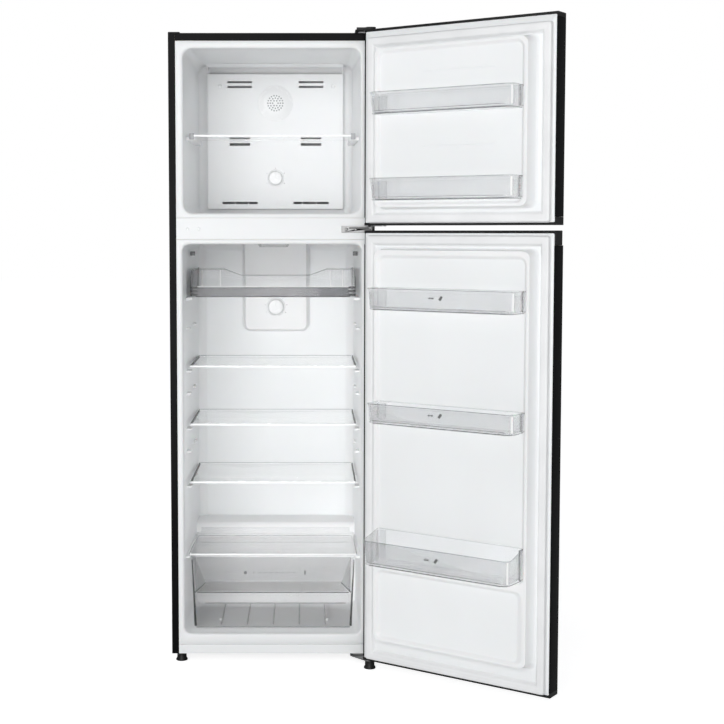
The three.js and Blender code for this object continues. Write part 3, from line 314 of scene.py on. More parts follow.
# The record's slots and the materials that belong to each, first the one that CAD nodes get
SLOT_MATERIALS = {
    "black_steel": [PAINT], "galvanised": [ZINC], "bright_steel": [CHROME], "aluminium": [ALUMINIUM],
    "white_liner": [WHITE, MOULDING], "black_plastic": [BLACK], "white_rubber": [RUBBER],
    "clear_plastic": [CLEAR, CLEAR_PAINTED_SHADE, CLEAR_BLOCK, CLEAR_PAINTED_SHADE_LINE, PAINTED_HIGHLIGHT],
    "smoky_plastic": [SMOKE, SMOKE_PAINTED_LIGHT, SMOKE_PAINTED_LIGHT_CLEARER, SMOKE_BAND_AND_PAINTED_SHADE, SMOKE_DARK_AND_PAINTED_SHADE],
    "shelf_glass": [GLASS], "grey_trim": [GREY_TRIM, RAIL], "foam": [FOAM],
}
SLOTS = {part["node"]: part["material_slot"] for part in frame["record"]["subparts"]}
BODIES = {node: body for body, nodes in frame["record"]["behaviour"]["bodies"].items() for node in nodes}
SHADOWLESS = (CLEAR, CLEAR_PAINTED_SHADE, CLEAR_BLOCK, CLEAR_PAINTED_SHADE_LINE, SMOKE, SMOKE_PAINTED_LIGHT, SMOKE_BAND_AND_PAINTED_SHADE, GLASS, PAINTED_HIGHLIGHT)

# ---- outlines and rings


def rounded(left, right, low, high, radius, steps=6):
    """A rounded rectangle's points, anticlockwise from its lower left corner."""
    radii = radius if isinstance(radius, tuple) else (radius,) * 4
    corners = ((left, low, 180), (right, low, 270), (right, high, 0), (left, high, 90))
    points = []
    for (u, v, start), corner_radius in zip(corners, radii):
        reach = max(corner_radius, 0.01)
        centre_u = u + reach if u == left else u - reach
        centre_v = v + reach if v == low else v - reach
        for step in range(steps + 1):
            angle = math.radians(start + 90 * step / steps)
            points.append((centre_u + reach * math.cos(angle), centre_v + reach * math.sin(angle)))
    return points


def outline(corners, steps=5):
    """A closed outline from corners (u, v) or (u, v, radius); a radius makes an arc."""
    points = []
    count = len(corners)
    for index, corner in enumerate(corners):
        here = Vector(corner[:2])
        if len(corner) == 2:
            points.append(tuple(here))
            continue
        before = (Vector(corners[index - 1][:2]) - here).normalized()
        after = (Vector(corners[(index + 1) % count][:2]) - here).normalized()
        half = before.angle(after) / 2
        centre = here + (before + after).normalized() * (corner[2] / math.sin(half))
        reach = corner[2] / math.tan(half)
        start = here + before * reach - centre
        end = here + after * reach - centre
        turn = math.atan2(start.x * end.y - start.y * end.x, start.dot(end))
        for step in range(steps + 1):
            spoke = Matrix.Rotation(turn * step / steps, 2) @ start
            points.append(tuple(centre + spoke))
    return points


def circle(centre_u, centre_v, radius, steps):
    angles = [2 * math.pi * step / steps for step in range(steps)]
    return [(centre_u + radius * math.cos(a), centre_v + radius * math.sin(a)) for a in angles]


def lift(points, axis, level):
    """Outlines are (x, y) at a height z, (x, z) at a depth y, or (y, z) at a place x."""
    if axis == "z":
        return [(u, v, level) for u, v in points]
    if axis == "y":
        return [(u, level, v) for u, v in points]
    return [(level, u, v) for u, v in points]


def quarter(start, end, bulge, steps):
    """Pairs from start to end on a quarter of an ellipse: it leaves start along the axis
    named by bulge (0 or 1) and arrives along the other."""
    pairs = []
    for step in range(steps + 1):
        angle = math.pi / 2 * step / steps
        along = [math.sin(angle), 1 - math.cos(angle)]
        share = (along[0], along[1]) if bulge == 0 else (along[1], along[0])
        pairs.append(tuple(s + (e - s) * part for s, e, part in zip(start, end, share)))
    return pairs


class Shape:
    """A mesh being built, in millimetres."""

    def __init__(self):
        self.mesh = bmesh.new()

    def rings(self, rings, loop=False, caps=(True, True), edges=()):
        """Skins a row of rings; the bands whose numbers are in edges take the second material."""
        rows = [[self.mesh.verts.new(point) for point in ring] for ring in rings]
        following = rows[1:] + rows[:1] if loop else rows[1:]
        for band, (low, high) in enumerate(zip(rows, following)):
            for here in range(len(low)):
                there = (here + 1) % len(low)
                face = self.mesh.faces.new((low[here], low[there], high[there], high[here]))
                face.material_index = 1 if band in edges else 0
        if not loop:
            if caps[0]:
                self.mesh.faces.new(rows[0])
            if caps[1]:
                self.mesh.faces.new(rows[-1])
        return self

    def prism(self, points, axis, start, end):
        return self.rings([lift(points, axis, start), lift(points, axis, end)])

    def box(self, x0, x1, y0, y1, z0, z1, radius=0.0):
        return self.prism(rounded(x0, x1, y0, y1, radius, 3), "z", z0, z1)

    def mirrored_boxes(self, inner, outer, *rest):
        """One box on each side of the middle, from x = inner to x = outer."""
        for side in (-1, 1):
            self.box(*sorted((side * inner, side * outer)), *rest)

    def turned(self, profile, centre, steps):
        """A body turned about the y axis; the profile is (radius, y)."""
        return self.rings([lift(circle(*centre, radius, steps), "y", y) for radius, y in profile])

    def tube(self, path, radius, end_radius=None):
        """A round tube along a list of points; it can swell or taper to end_radius."""
        rings = []
        last = radius if end_radius is None else end_radius
        for index, point in enumerate(path):
            thick = radius + (last - radius) * index / (len(path) - 1)
            before = path[max(index - 1, 0)]
            after = path[min(index + 1, len(path) - 1)]
            along = (Vector(after) - Vector(before)).normalized()
            side = along.orthogonal().normalized()
            if index:
                side = (previous - along * previous.dot(along)).normalized()
            previous = side
            up = along.cross(side)
            spokes = [side * u + up * v for u, v in circle(0, 0, 1, 8)]
            rings.append([tuple(Vector(point) + spoke * thick) for spoke in spokes])
        return self.rings(rings)

    def across(self, x0, x1, y, z, radius):
        """A round bar from x0 to x1."""
        self.tube([(x0, y, z), (x1, y, z)], radius)

    def mirrored_tubes(self, path, radius, end_radius=None):
        """One tube on each side of the middle."""
        for side in (-1, 1):
            self.tube([(side * x, y, z) for x, y, z in path], radius, end_radius)

    def data(self, name, body):
        """The finished mesh, moved into the frame. A door's body stands open there."""
        bmesh.ops.recalc_face_normals(self.mesh, faces=self.mesh.faces)
        self.mesh.transform(SWUNG_OPEN if body.startswith((*DOORS, "bottle_bin")) else TO_FRAME)
        return mesh_data(name, self.mesh)


def mesh_data(name, mesh):
    data = bpy.data.meshes.new(name)
    mesh.to_mesh(data)
    mesh.free()
    return data


def new_object(name, data):
    """An object of the scene, at its origin."""
    thing = bpy.data.objects.new(name, data)
    bpy.context.scene.collection.objects.link(thing)
    return thing


def rect_ring(rect, grow, axis, level, steps=6):
    """A ring round a rounded rectangle (left, right, low, high, radius), grown on all sides."""
    left, right, low, high, radius = rect
    points = rounded(left - grow, right + grow, low - grow, high + grow, radius + grow, steps)
    return lift(points, axis, level)


def add_piece(name, data, body, material, node, bevel, angle):
    """Adds a mesh as a piece that rides on a body, with its edges rounded off."""
    data.polygons.foreach_set("use_smooth", [True] * len(data.polygons))
    data.set_sharp_from_angle(angle=math.radians(angle))
    data.materials.append(material)
    piece = new_object(name, data)
    piece.visible_shadow = material not in SHADOWLESS
    if bevel:
        modifier = piece.modifiers.new("edges", "BEVEL")
        modifier.width = bevel * MM
        modifier.segments = 2
        modifier.limit_method = "ANGLE"
        modifier.angle_limit = math.radians(angle)
        modifier.harden_normals = True
    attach(piece, body)
    if node:
        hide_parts(node)
    return piece


def finish_piece(name, shape, body, material, node=None, slot=None, bevel=0.0, angle=32,
                 edge_material=None):
    """Turns a shape into a piece of the frame. It stands for a CAD node, if one is given. The slot that its
    material belongs to (none for ink) is worked out, but not given to the piece."""
    bmesh.ops.remove_doubles(shape.mesh, verts=shape.mesh.verts, dist=0.0005)
    for own_slot, group in SLOT_MATERIALS.items():
        if material in group:
            slot = slot or own_slot
    piece = add_piece(name, shape.data(name, body), body, material, node, bevel, angle)
    if edge_material:
        piece.data.materials.append(edge_material)
    return piece


def cut_out(piece, shape):
    """Cuts a shape out of a piece, and keeps the result as the piece's mesh."""
    cutter = new_object("cutter", shape.data("cutter", "cabinet"))
    modifier = piece.modifiers.new("cut", "BOOLEAN")
    modifier.operation = "DIFFERENCE"
    modifier.solver = "EXACT"
    modifier.object = cutter
    result = piece.evaluated_get(bpy.context.evaluated_depsgraph_get())
    whole = piece.data
    piece.data = bpy.data.meshes.new_from_object(result)
    piece.data.name = piece.name
    piece.data.set_sharp_from_angle(angle=math.radians(32))
    piece.modifiers.remove(modifier)
    bpy.data.meshes.remove(whole)
    bpy.data.objects.remove(cutter)


def softened(node, width):
    """A copy of a CAD node with its edges rounded off, which then stands for that node."""
    mesh = bmesh.new()
    mesh.from_mesh(frame["nodes"][node].data)
    bmesh.ops.remove_doubles(mesh, verts=mesh.verts, dist=0.000002)
    bmesh.ops.dissolve_limit(mesh, angle_limit=math.radians(0.5), verts=mesh.verts, edges=mesh.edges)
    name, slot = node + "_finished", SLOTS[node]
    angle = 12 if node == "evaporator_cover" else 32
    data = mesh_data(name, mesh)
    return add_piece(name, data, BODIES[node], SLOT_MATERIALS[slot][0], node, width, angle)


def paint_carried_over():
    """Every CAD node gets the material of its slot, whether or not a piece stands for it."""
    for node, piece in frame["nodes"].items():
        piece.data.materials.clear()
        piece.data.materials.append(SLOT_MATERIALS[SLOTS[node]][0])


def soften_plain_nodes():
    widths = {
        "side_panel_left": 0.35, "side_panel_right": 0.35, "top_panel": 0.35, "mullion_cover": 0.8,
        "kick_plate": 0.8, "top_hinge": 0.5, "top_hinge_cover": 1.6, "mid_hinge": 0.6,
        "bottom_hinge": 0.6, "crisper_drawer": 1.1, "chiller_tray": 0.7, "crisper_cover": 1.0,
        "evaporator_cover": 1.2, "bay_cover": 0.3, "evaporation_tray": 0.6,
        "freezer_door_top_cap": 1.2, "freezer_door_bottom_cap": 1.2, "fridge_door_handle_cap": 1.2,
        "fridge_door_bottom_cap": 1.2, "freezer_door_stop": 0.5, "front_foot_left": 0.8,
        "front_foot_right": 0.8, "lamp_cover": 1.2,
    }
    for node, width in widths.items():
        piece = softened(node, width)
        if node == "crisper_drawer":
            paint_light_below_ledge(piece, cad(node)[0][2])


def paint_light_below_ledge(piece, floor):
    """Painted light: below its ledge the drawer takes a paler, clearer copy of its smoky plastic, and its
    floor an almost clear one, to lift the shade that falls there.
    """
    piece.data.materials.append(SMOKE_PAINTED_LIGHT_CLEARER)
    piece.data.materials.append(SMOKE_PAINTED_LIGHT)
    for face in piece.data.polygons:
        height = (piece.matrix_world @ face.center).z / MM
        face.material_index = 1 if height < floor + 5 else 2 if height < GRIP_LEDGE[1] else 0


# ---- liners


def wall_at(room, y):
    """Half the room's width at a depth y; the walls taper towards the back."""
    return room["half"] + (room["back_half"] - room["half"]) * y / room["depth"]


def liner_shell(shape, room, flange, bay=None):
    """A liner: flange round the opening, rounded rim, tapering walls and back wall."""
    skin = 1.6
    rim = 7

    def section(y, grow, radius=None):
        half = wall_at(room, y)
        corner = room["corner"] if radius is None else radius
        return rect_ring((-half, half, room["low"], room["high"], corner), grow, "y", y)

    def flange_ring(y, shrink=0.0):
        return rect_ring((-FACE_HALF, FACE_HALF, *flange, 1.0), -shrink, "y", y)

    back = room["depth"]
    back_radius = BACK_CORNER + 2
    inside = []
    if bay:
        inside += [rect_ring(bay["rect"], -3, "y", bay["depth"])]
        inside += [rect_ring(bay["rect"], 0, "y", y) for y in (bay["depth"] - 3, back)]
    inside += [section(back, -BACK_CORNER, back_radius)]
    curves = quarter((-BACK_CORNER, back), (0, back - BACK_CORNER), 0, 6)[1:]
    curves += quarter((0, rim), (rim, 0), 1, 5)
    inside += [section(y, grow) for grow, y in curves]
    outside = [flange_ring(0, 0.6), flange_ring(0.6), flange_ring(3)]
    outside += [section(3, skin + rim), section(rim + 4, skin), section(back - BACK_CORNER, skin)]
    outside += [section(back + skin, skin - BACK_CORNER, back_radius)]
    if bay:
        outside += [rect_ring(bay["rect"], skin, "y", y + skin) for y in (back, bay["depth"])]
    shape.rings(inside + outside)


def wall_rib(shape, room, inner, front, back, low, high, radius=3.0):
    """A moulded rail on each side wall, with a rounded nose and rounded ends."""
    for side in (-1, 1):
        rings = []
        middle = (low + high) / 2
        ease = radius * 0.3
        nose_steps = ((radius, low), (ease, low + ease), (0, middle), (ease, high - ease), (radius, high))
        for inset, z in nose_steps:
            nose = side * (inner + inset)
            plan = outline([
                (nose, front + inset, 5), (side * (wall_at(room, front) + 1), front + inset),
                (side * (wall_at(room, back) + 1), back - inset), (nose, back - inset, 5),
            ])
            rings.append(lift(plan, "z", z))
        shape.rings(rings)


def shelf_supports(shape, inner, top):
    """A short lug near the front and another near the back, on both walls."""
    for front, back in SHELF_LUGS:
        wall_rib(shape, FRIDGE, inner, front, back, top - 6, top, 2.5)


def freezer_liner():
    shape = Shape()
    low, high = cad("freezer_liner")
    bay = {"rect": BAY_RECT, "depth": high[1] - 2}
    liner_shell(shape, FREEZER, (low[2], high[2]), bay)
    shelf = cad("freezer_shelf")
    rib_top = shelf[0][2] - 0.3
    wall_rib(shape, FREEZER, shelf[1][0] - 3, *FREEZER_RIB, rib_top - 10, rib_top)
    finish_piece("freezer_liner_shell", shape, "cabinet", WHITE, "freezer_liner", angle=50)


def fridge_liner():
    shape = Shape()
    low, high = cad("fridge_liner")
    liner_shell(shape, FRIDGE, (low[2], high[2]))
    half = FRIDGE["half"] - 4
    below, behind = FRIDGE["low"] - 1, FRIDGE["depth"] + 1
    front = [(308, below), (312, below + 9, 30), (342, HUMP_TOP, 16)]
    hump = outline([*front, (behind, HUMP_TOP), (behind, below)], 8)
    shape.prism(hump, "x", -half, half)
    for name in ("shelf_trim_1", "shelf_trim_2", "shelf_trim_3"):
        shelf_supports(shape, cad(name)[1][0] - 4, cad(name)[0][2] - 0.3)
    for top in SPARE_LEVELS:
        shelf_supports(shape, cad("shelf_trim_1")[1][0] - 2, top)
    tray = cad("chiller_tray")
    wall_rib(shape, FRIDGE, tray[1][0] - 7, *CHILLER_RIB, tray[0][2] - 9, tray[0][2] - 0.3)
    drawer = cad("crisper_drawer")
    cover = cad("crisper_cover")
    wall_rib(shape, FRIDGE, drawer[1][0] + 1.5, *COVER_RIB, cover[0][2] - 7, cover[0][2] - 0.3)
    for x in (-150, 150):
        shape.box(x - 4, x + 4, 130, 280, FRIDGE["low"] - 1, drawer[0][2] - 0.3, 3)
    finish_piece("fridge_liner_shell", shape, "cabinet", WHITE, "fridge_liner", angle=50)


def duct_cover():
    """The air duct on the back wall: flared sides, round lower corners, and a top that leans out."""
    low, high = cad("duct_cover")
    face, flare, corner = high[0] - 1, 10, 16
    back = high[1] - 0.4
    shape = Shape()
    lower = (low[2], DUCT_BEND, 0, corner)
    upper = (DUCT_BEND, high[2] - 0.2, DUCT_FRONT - low[1], 0)
    for bottom, top, lean, radius in (lower, upper):
        rings = []
        for step in range(9):
            share = step / 8
            grow = flare * (1 - share) ** 2
            drop = grow * 0.8 if radius else 0
            corners = (radius + grow, radius + grow, 0, 0) if radius else 0
            edge = rounded(-face - grow, face + grow, bottom - drop, top, corners)
            rings.append([(x, back + (DUCT_FRONT - lean * (z - bottom) / (top - bottom) - back) * share, z)
                          for x, z in edge])
        shape.rings(rings)
    finish_piece("duct_cover_shell", shape, "cabinet", WHITE, "duct_cover", angle=40, bevel=0.9)


# ---- doors


def plane_with_holes(shape, outer, holes):
    """Fills a flat face between an outer ring and the rings of its holes."""
    loops = [outer, *holes]
    triangles = tessellate_polygon([[Vector(point) for point in loop] for loop in loops])
    verts = [shape.mesh.verts.new(point) for loop in loops for point in loop]
    for triangle in triangles:
        shape.mesh.faces.new([verts[index] for index in triangle])


def door_liner(door):
    """The white inner side of a door: flat border, raised plateau and its sunk pockets."""
    node = door + "_liner"
    field = DOORS[door]
    sheet = (-HALF + 3.8, HALF - 3.8, *heights(node), 3.0)
    rise = (field["left"], PLATEAU["right"], field["low"], field["high"], PLATEAU["corner"])

    def wall_ring(share):
        """The wall leaves the border gently and is steepest at the crest, and its slope is
        widest on the door's free side."""
        climb = share ** 2.2
        free_slope, slope = 22 * share, 7 * share
        left, right = field["left"] + free_slope, PLATEAU["right"] - slope
        bottom, top = field["low"] + slope, field["high"] - slope
        corner = PLATEAU["corner"] - 6 * share
        return rect_ring((left, right, bottom, top, corner), 0, "y", DOOR_BACK + PLATEAU["rise"] * climb, 8)

    def pocket_ring(bottom, top, share):
        """A pocket's wall is S-shaped; on the free side it is wider where no bin hangs."""
        free_slope = 13 if top - bottom < 300 else 0
        climb = (1 - math.cos(math.pi * share)) / 2
        sunk = (field["pocket_left"] + free_slope * share, POCKET_RIGHT, bottom, top, 20)
        return rect_ring(sunk, 3 - 11 * share, "y", CREST - PLATEAU["pocket"] * climb, 8)

    shape = Shape()
    rings = [rect_ring(rise, -24, "y", POCKET_FLOOR - 2, 8), rect_ring(rise, -3, "y", DOOR_BACK - 2, 8)]
    for grow, y in ((0, DOOR_BACK - 2), (0, DOOR_BACK - 0.6), (-0.6, DOOR_BACK)):
        rings.append(rect_ring(sheet, grow, "y", y, 8))
    rings += [wall_ring(step / 12) for step in range(13)]
    shape.rings(rings, caps=(True, False))
    pockets = [[pocket_ring(*pocket, step / 8) for step in range(9)] for pocket in field["pockets"]]
    for pocket in pockets:
        shape.rings(pocket, caps=(False, True))
    plane_with_holes(shape, rings[-1], [pocket[0] for pocket in pockets])
    foot, crown = POCKET_FLOOR - 0.5, POCKET_FLOOR + 0.5
    for z in field["ridges"]:
        ridge = outline([(z - 2.2, foot), (z - 1.2, crown, 0.4), (z + 1.2, crown, 0.4), (z + 2.2, foot)], 3)
        shape.prism([(y, u) for u, y in ridge], "x", -120, 90)
    finish_piece(door + "_inside", shape, door, WHITE, node, angle=50)


def gasket(door):
    """Magnetic gasket: a soft bellows with a flat magnetic face, mitred round the door."""
    node = door + "_gasket"
    frame_rect = (-264, 264, *heights(node), 9)
    back = DOOR_BACK + 0.3
    profile = [
        (-6, back), (-20, back), (-28, back), (-27, back + 0.6), (-25.5, back + 1.8), (-24.4, back + 3.6),
        (-23.6, back + 6), (-22.4, back + 8.4), (-20.4, -1.2), (-18, -0.7), (-8, -0.6), (-4.4, -1.0),
        (-2.4, -2.2), (-1.6, back + 6), (-1.8, back + 3), (-0.6, back + 1.6), (0, back + 0.8), (-0.6, back),
    ]
    shape = Shape().rings([rect_ring(frame_rect, grow, "y", y, 5) for grow, y in profile], loop=True)
    finish_piece(door + "_seal", shape, door, RUBBER, node, angle=60)


def door_skin(door):
    """The painted outer sheet of a door, folded round its edges."""
    node = door + "_skin"
    inner = HALF - STEEL
    lip = HALF - 3.5
    half_section = [(inner, DOOR_FRONT + STEEL, 5.2), (inner, DOOR_BACK - STEEL), (lip, DOOR_BACK - STEEL),
                    (lip, DOOR_BACK), (HALF, DOOR_BACK, 1.0), (HALF, DOOR_FRONT, 6)]
    mirrored = [(-x, *rest) for x, *rest in half_section]
    section = outline(mirrored[3:] + half_section[::-1] + mirrored[:3], 8)
    shape = Shape().prism(section, "z", *heights(node))
    finish_piece(door + "_sheet", shape, door, PAINT, node)


def door_foam(door):
    """The blown core between the skin and the liner, with the block that fills the plateau."""
    node = door + "_foam"
    field = DOORS[door]
    side, back, front = HALF - STEEL - 0.4, DOOR_BACK - 2.3, DOOR_FRONT + 1.2
    slab = outline([(-side, back), (-side, front, 5), (side, front, 5), (side, back)], 4)
    shape = Shape().prism(slab, "z", *heights(node))
    core = (field["left"] + 27, PLATEAU["right"] - 14, field["low"] + 14, field["high"] - 14, 12)
    shape.rings([rect_ring(core, 0, "y", y) for y in (DOOR_BACK - 2.5, POCKET_FLOOR - 3)])
    finish_piece(door + "_core", shape, door, FOAM, node)


# ---- bins


def bin_tub(name, node, left, front, dip, notch):
    """A clear door bin: tapered tub with a thick base, a rolled rim and round free corners."""
    low, high = heights(node)
    right, half_notch = BIN_RIGHT, 26

    def plan(inset, draft):
        shrink = inset + draft
        free_corner = max(20 - inset, 4)
        return outline([
            (left + shrink, BIN_BACK + inset, 3), (right - shrink, BIN_BACK + inset, 3),
            (right - shrink, front - shrink, free_corner), (left + shrink, front - shrink, free_corner),
        ], 8)

    def top_at(x, y):
        """The rim dips smoothly towards the front, and the notch is in the middle of the front."""
        share = min(max((y - BIN_BACK - 34) / (front - BIN_BACK - 50), 0), 1)
        smooth = share * share * (3 - 2 * share)
        dent = notch * max(0, 1 - (abs(x - (left + right) / 2) / half_notch) ** 4) if y > front - 8 else 0
        return high - dip * smooth - dent

    def rings(rows, height_at):
        return [[(x, y, height_at(x, y) + up) for x, y in plan(inset, draft)] for inset, draft, up in rows]

    wall = 2.2
    outside = ((3.0, 4, 0), (1.0, 4, 0.5), (0, 4, 2.2), (0.9, 4, 3.4), (0.9, 3.6, 8))
    rim = ((0.9, 0.4, -4), (0.2, 0.2, -3), (0, 0, -1.6), (0.3, 0, -0.4), (1.1, 0, 0),
           (wall - 0.4, 0, -0.3), (wall, 0.2, -1.6))
    inside = ((wall + 0.4, 3.8, 6), (wall + 3, 4, 3), (wall + 6, 4, 2.6))
    tub = rings(outside, lambda x, y: low) + rings(rim, top_at) + rings(inside, lambda x, y: low)
    # The base and rim bands take the darker copy of the clear plastic: painted shade for their dark edges.
    shape = Shape().rings(tub, edges=(0, 1, 2, 6, 7, 8))
    finish_piece(name + "_tub", shape, node, CLEAR, node, angle=60, edge_material=CLEAR_PAINTED_SHADE)


def bin_edge_lines(name, node, left, front, dip):
    """Dark lines of painted shade where a bin's clear edges look dark: base line, rim line and the outline
    of its free end.
    """
    low, high = heights(node)
    start, end = left + 24, BIN_RIGHT - 24
    base = front - 4.2
    rim = high - dip - 1
    lines = Shape()
    lines.across(start, end, base, low + 1.2, 1.5)
    corner = [(left + 5, BIN_BACK + 4, low + 1), (left + 5, base - 22, low + 1),
              (left + 11, base - 7, low + 1.1), (start, base, low + 1.2)]
    lines.tube(corner, 0.8, end_radius=1.3)
    lines.across(start - 2, end + 2, front - 0.9, rim, 0.35)
    lines.across(start, end, base + 1.5, low + 8, 0.6)
    near, far = BIN_BACK + 0.6, BIN_BACK + 21
    corners = [(near, low + 5), (far, low + 5), (far + 1.5, high - 2), (near, high - 2)]
    for (y0, z0), (y1, z1) in zip(corners, corners[1:] + corners[:1]):
        lines.tube([(left + 1.2, y0, z0), (left + 1.2, y1, z1)], 0.9)
    finish_piece(name + "_edge_lines", lines, node, CLEAR_PAINTED_SHADE_LINE, angle=60)


def bin_blocks(name, node, left, front, dip):
    """The block that hangs each end of a bin, and a painted highlight strip down its corner on the door's
    free side.
    """
    low, high = heights(node)
    blocks = Shape()
    blocks.box(left + 2.6, left + 7, BIN_BACK + 0.6, BIN_BACK + 21, low + 5, high - 3, 1.5)
    blocks.box(BIN_RIGHT - 26, BIN_RIGHT - 3.4, BIN_BACK + 1.5, BIN_BACK + 16, low + 6, high - 5, 3)
    finish_piece(name + "_end_blocks", blocks, node, CLEAR_BLOCK, angle=60)
    # A pale strip of painted highlight down the free-side corner.
    lit = Shape().box(left + 3.4, left + 8.6, front - 9.4, front - 7.6, low + 7, high - dip - 4, 0.8)
    finish_piece(name + "_painted_highlight_corner", lit, node, PAINTED_HIGHLIGHT, angle=60)


def bin_mark(name, node, front, z):
    """A generic mark on a bin's front: a short bar beside a leaning block."""
    shape = Shape()
    y = front - 1.4
    for x in (22, 14):
        shape.prism(rounded(x - 3, x + 3, z - 2.2, z + 2.2, 1.6, 3), "y", y, y + 1.7)
    leaning = [(-10, z + 7), (-16, z + 4), (-9, z - 6), (-3, z - 3)]
    shape.prism(leaning, "y", y, y + 1.7)
    finish_piece(name + "_mark", shape, node, INK)


def door_bins():
    # node, reach from the door's back, dip of the rim to the front, notch in it, drop of the mark
    rows = (
        ("freezer_door_bin_upper", 84, 0, 5, None), ("freezer_door_bin_lower", 84, 0, 5, None),
        ("fridge_door_bin_upper", 92, 0, 0, 22), ("fridge_door_bin_middle", 92, 0, 0, 18),
        ("bottle_bin", 108, 18, 0, 44),
    )
    for node, reach, dip, notch, mark_drop in rows:
        name = node.replace("_door", "")
        door = "freezer_door" if node.startswith("freezer") else "fridge_door"
        left = DOORS[door]["pocket_left"] + 0.5
        front = DOOR_BACK + reach
        bin_tub(name, node, left, front, dip, notch)
        bin_edge_lines(name, node, left, front, dip)
        bin_blocks(name, node, left, front, dip)
        if mark_drop:
            bin_mark(name, node, front, heights(node)[1] - mark_drop)


# ---- shelves


def glass_sheet(name, node, body, corner=6):
    """Toughened glass with ground, rounded edges."""
    low, high = cad(node)
    rect = (low[0], high[0], low[1], high[1], corner)
    thick = high[2] - low[2]
    edge = ((-1.2, 0), (-0.3, 0.4), (0, thick / 2), (-0.3, thick - 0.4), (-1.2, thick))
    rings = [rect_ring(rect, grow, "z", low[2] + z) for grow, z in edge]
    finish_piece(name, Shape().rings(rings), body, GLASS, node, angle=60)


def front_bar(front, back, low, high, left, right):
    """The bar along a shelf's front edge, rounder in front than behind."""
    section = outline([(front, low, 1.5), (back, low, 0.8), (back, high, 0.8), (front, high, 1.5)], 6)
    return Shape().prism(section, "x", left, right)


def shelf_rail(rails, glass, side, edge, front, back):
    """A channel that holds one side of the glass."""
    bottom, top = heights(glass)
    tip, slot = edge - side * 3.6, edge - side * 1.8
    section = outline([
        (edge, bottom - 1.6, 0.6), (edge, top + 0.8, 0.6), (tip, top + 0.8, 0.3), (tip, top + 0.1),
        (slot, top + 0.1), (slot, bottom - 0.1), (tip, bottom - 0.1), (tip, bottom - 1.6, 0.3),
    ], 3)
    rails.prism(section, "y", front, back)


def fridge_shelf(index):
    """A glass shelf: bright bar along its front, dark channels on its sides, seal at its back."""
    kinds = ("fridge_shelf", "shelf", "glass_shelf", "shelf_trim")
    name, body, glass, trim = (f"{kind}_{index}" for kind in kinds)
    low, high = cad(trim)
    front, back = low[1], high[1]
    bottom, top = heights(glass)
    bar = front_bar(front, front + 10, bottom - 0.6, top + 0.5, low[0] + 1, high[0] - 1)
    finish_piece(name + "_trim_bar", bar, body, MOULDING, trim, angle=40, bevel=0.5)
    rails = Shape()
    for side in (-1, 1):
        shelf_rail(rails, glass, side, side * high[0], front + 10.2, back)
    finish_piece(name + "_trim_rails", rails, body, RAIL, angle=40)
    seal = Shape().box(low[0] + 5, high[0] - 5, back - 1.6, back, top + 0.1, top + 1.5, 0.4)
    finish_piece(name + "_trim_rear_seal", seal, body, GREY_TRIM, angle=40)
    glass_sheet(name + "_glass", glass, body)


def freezer_shelf():
    body = "freezer_shelf"
    glass_sheet("freezer_shelf_glass", "freezer_shelf", body, 4)
    low, high = cad("freezer_shelf_trim")
    bottom, top = heights("freezer_shelf")
    front, back = low[1], low[1] + 8
    bar = front_bar(front, back, bottom - 0.8, top + 0.5, -213, 213)
    finish_piece("freezer_shelf_bar", bar, body, MOULDING, "freezer_shelf_trim", angle=40, bevel=0.8)
    clips = Shape()
    clips.mirrored_boxes(212.2, high[0], front, back, low[2], high[2], 1.5)
    finish_piece("freezer_shelf_clips", clips, body, GREY_TRIM, bevel=0.8)


# ---- drawer and tray


def crisper_edges():
    """The drawer's dark edges, which are painted shade: tapering front corners, base line and grip ledge;
    and floor ribs.
    """
    body = "crisper_drawer"
    low, high = cad(body)
    front, back, half, floor = low[1], high[1], high[0], low[2]
    ledge_front, ledge_back = GRIP_LEDGE
    lines = Shape()
    corner = [(half - 3, front + 6, high[2] - 7), (half - 8, front + 7, floor + 95),
              (half - 12, front + 8, floor + 4)]
    lines.mirrored_tubes(corner, 1.2, 3.4)
    lines.mirrored_tubes([(214, front + 1.6, ledge_front + 0.4), (187.5, front + 44.6, ledge_back - 0.6)],
                         1.5, 0.9)
    lines.across(-half + 14, half - 14, front + 4.4, floor + 1.2, 1.0)
    lines.across(-208, 208, front + 0.3, ledge_front - 0.2, 1.2)
    lines.across(-187, 187, front + 45, ledge_back - 0.2, 0.5)
    lines.across(-206, 206, back - 12, floor + 2, 1.0)
    finish_piece("crisper_edge_lines", lines, body, SMOKE_DARK_AND_PAINTED_SHADE, angle=60)
    # The plate on the ledge takes the almost clear copy of the smoky plastic: painted light that lifts the
    # ledge's shade.
    near, far = (front + 3, ledge_front + 2.2), (front + 43, ledge_back + 0.2)
    ledge = [(-206, *near), (206, *near), (186, *far), (-186, *far)]
    plate = Shape().rings([ledge, [(x, y, z + 0.8) for x, y, z in ledge]])
    finish_piece("crisper_grip_plate", plate, body, SMOKE_PAINTED_LIGHT_CLEARER)
    ribs = Shape()
    for x in (-144, -72, 0, 72, 144):
        ribs.box(x - 2, x + 2, front + 24, back - 30, floor + 3.1, floor + 5, 1.2)
    finish_piece("crisper_floor_ribs", ribs, body, SMOKE, angle=60)


def crisper_mark():
    """Generic signs on the drawer's leaning front: a disc, a row of dots and a bar."""
    front = cad("crisper_drawer")[0][1]
    lean = math.atan2(45, 85)  # the front leans back 45 over a rise of 85
    place = Vector((0, front + 26.2, 238))
    turn = Matrix.Rotation(-lean, 4, "X")
    marks = [circle(-77, 0, 4.6, 16), rounded(86, 90, -6, 6, 1.8, 3)]
    marks += [circle(-54 + 16 * index, 0, 1.9, 12) for index in range(8)]
    shape = Shape()
    for mark in marks:
        rings = [[tuple(place + turn @ Vector((u, y, v))) for u, v in mark] for y in (-0.4, 0.3)]
        shape.rings(rings)
    finish_piece("crisper_marks", shape, "crisper_drawer", INK)


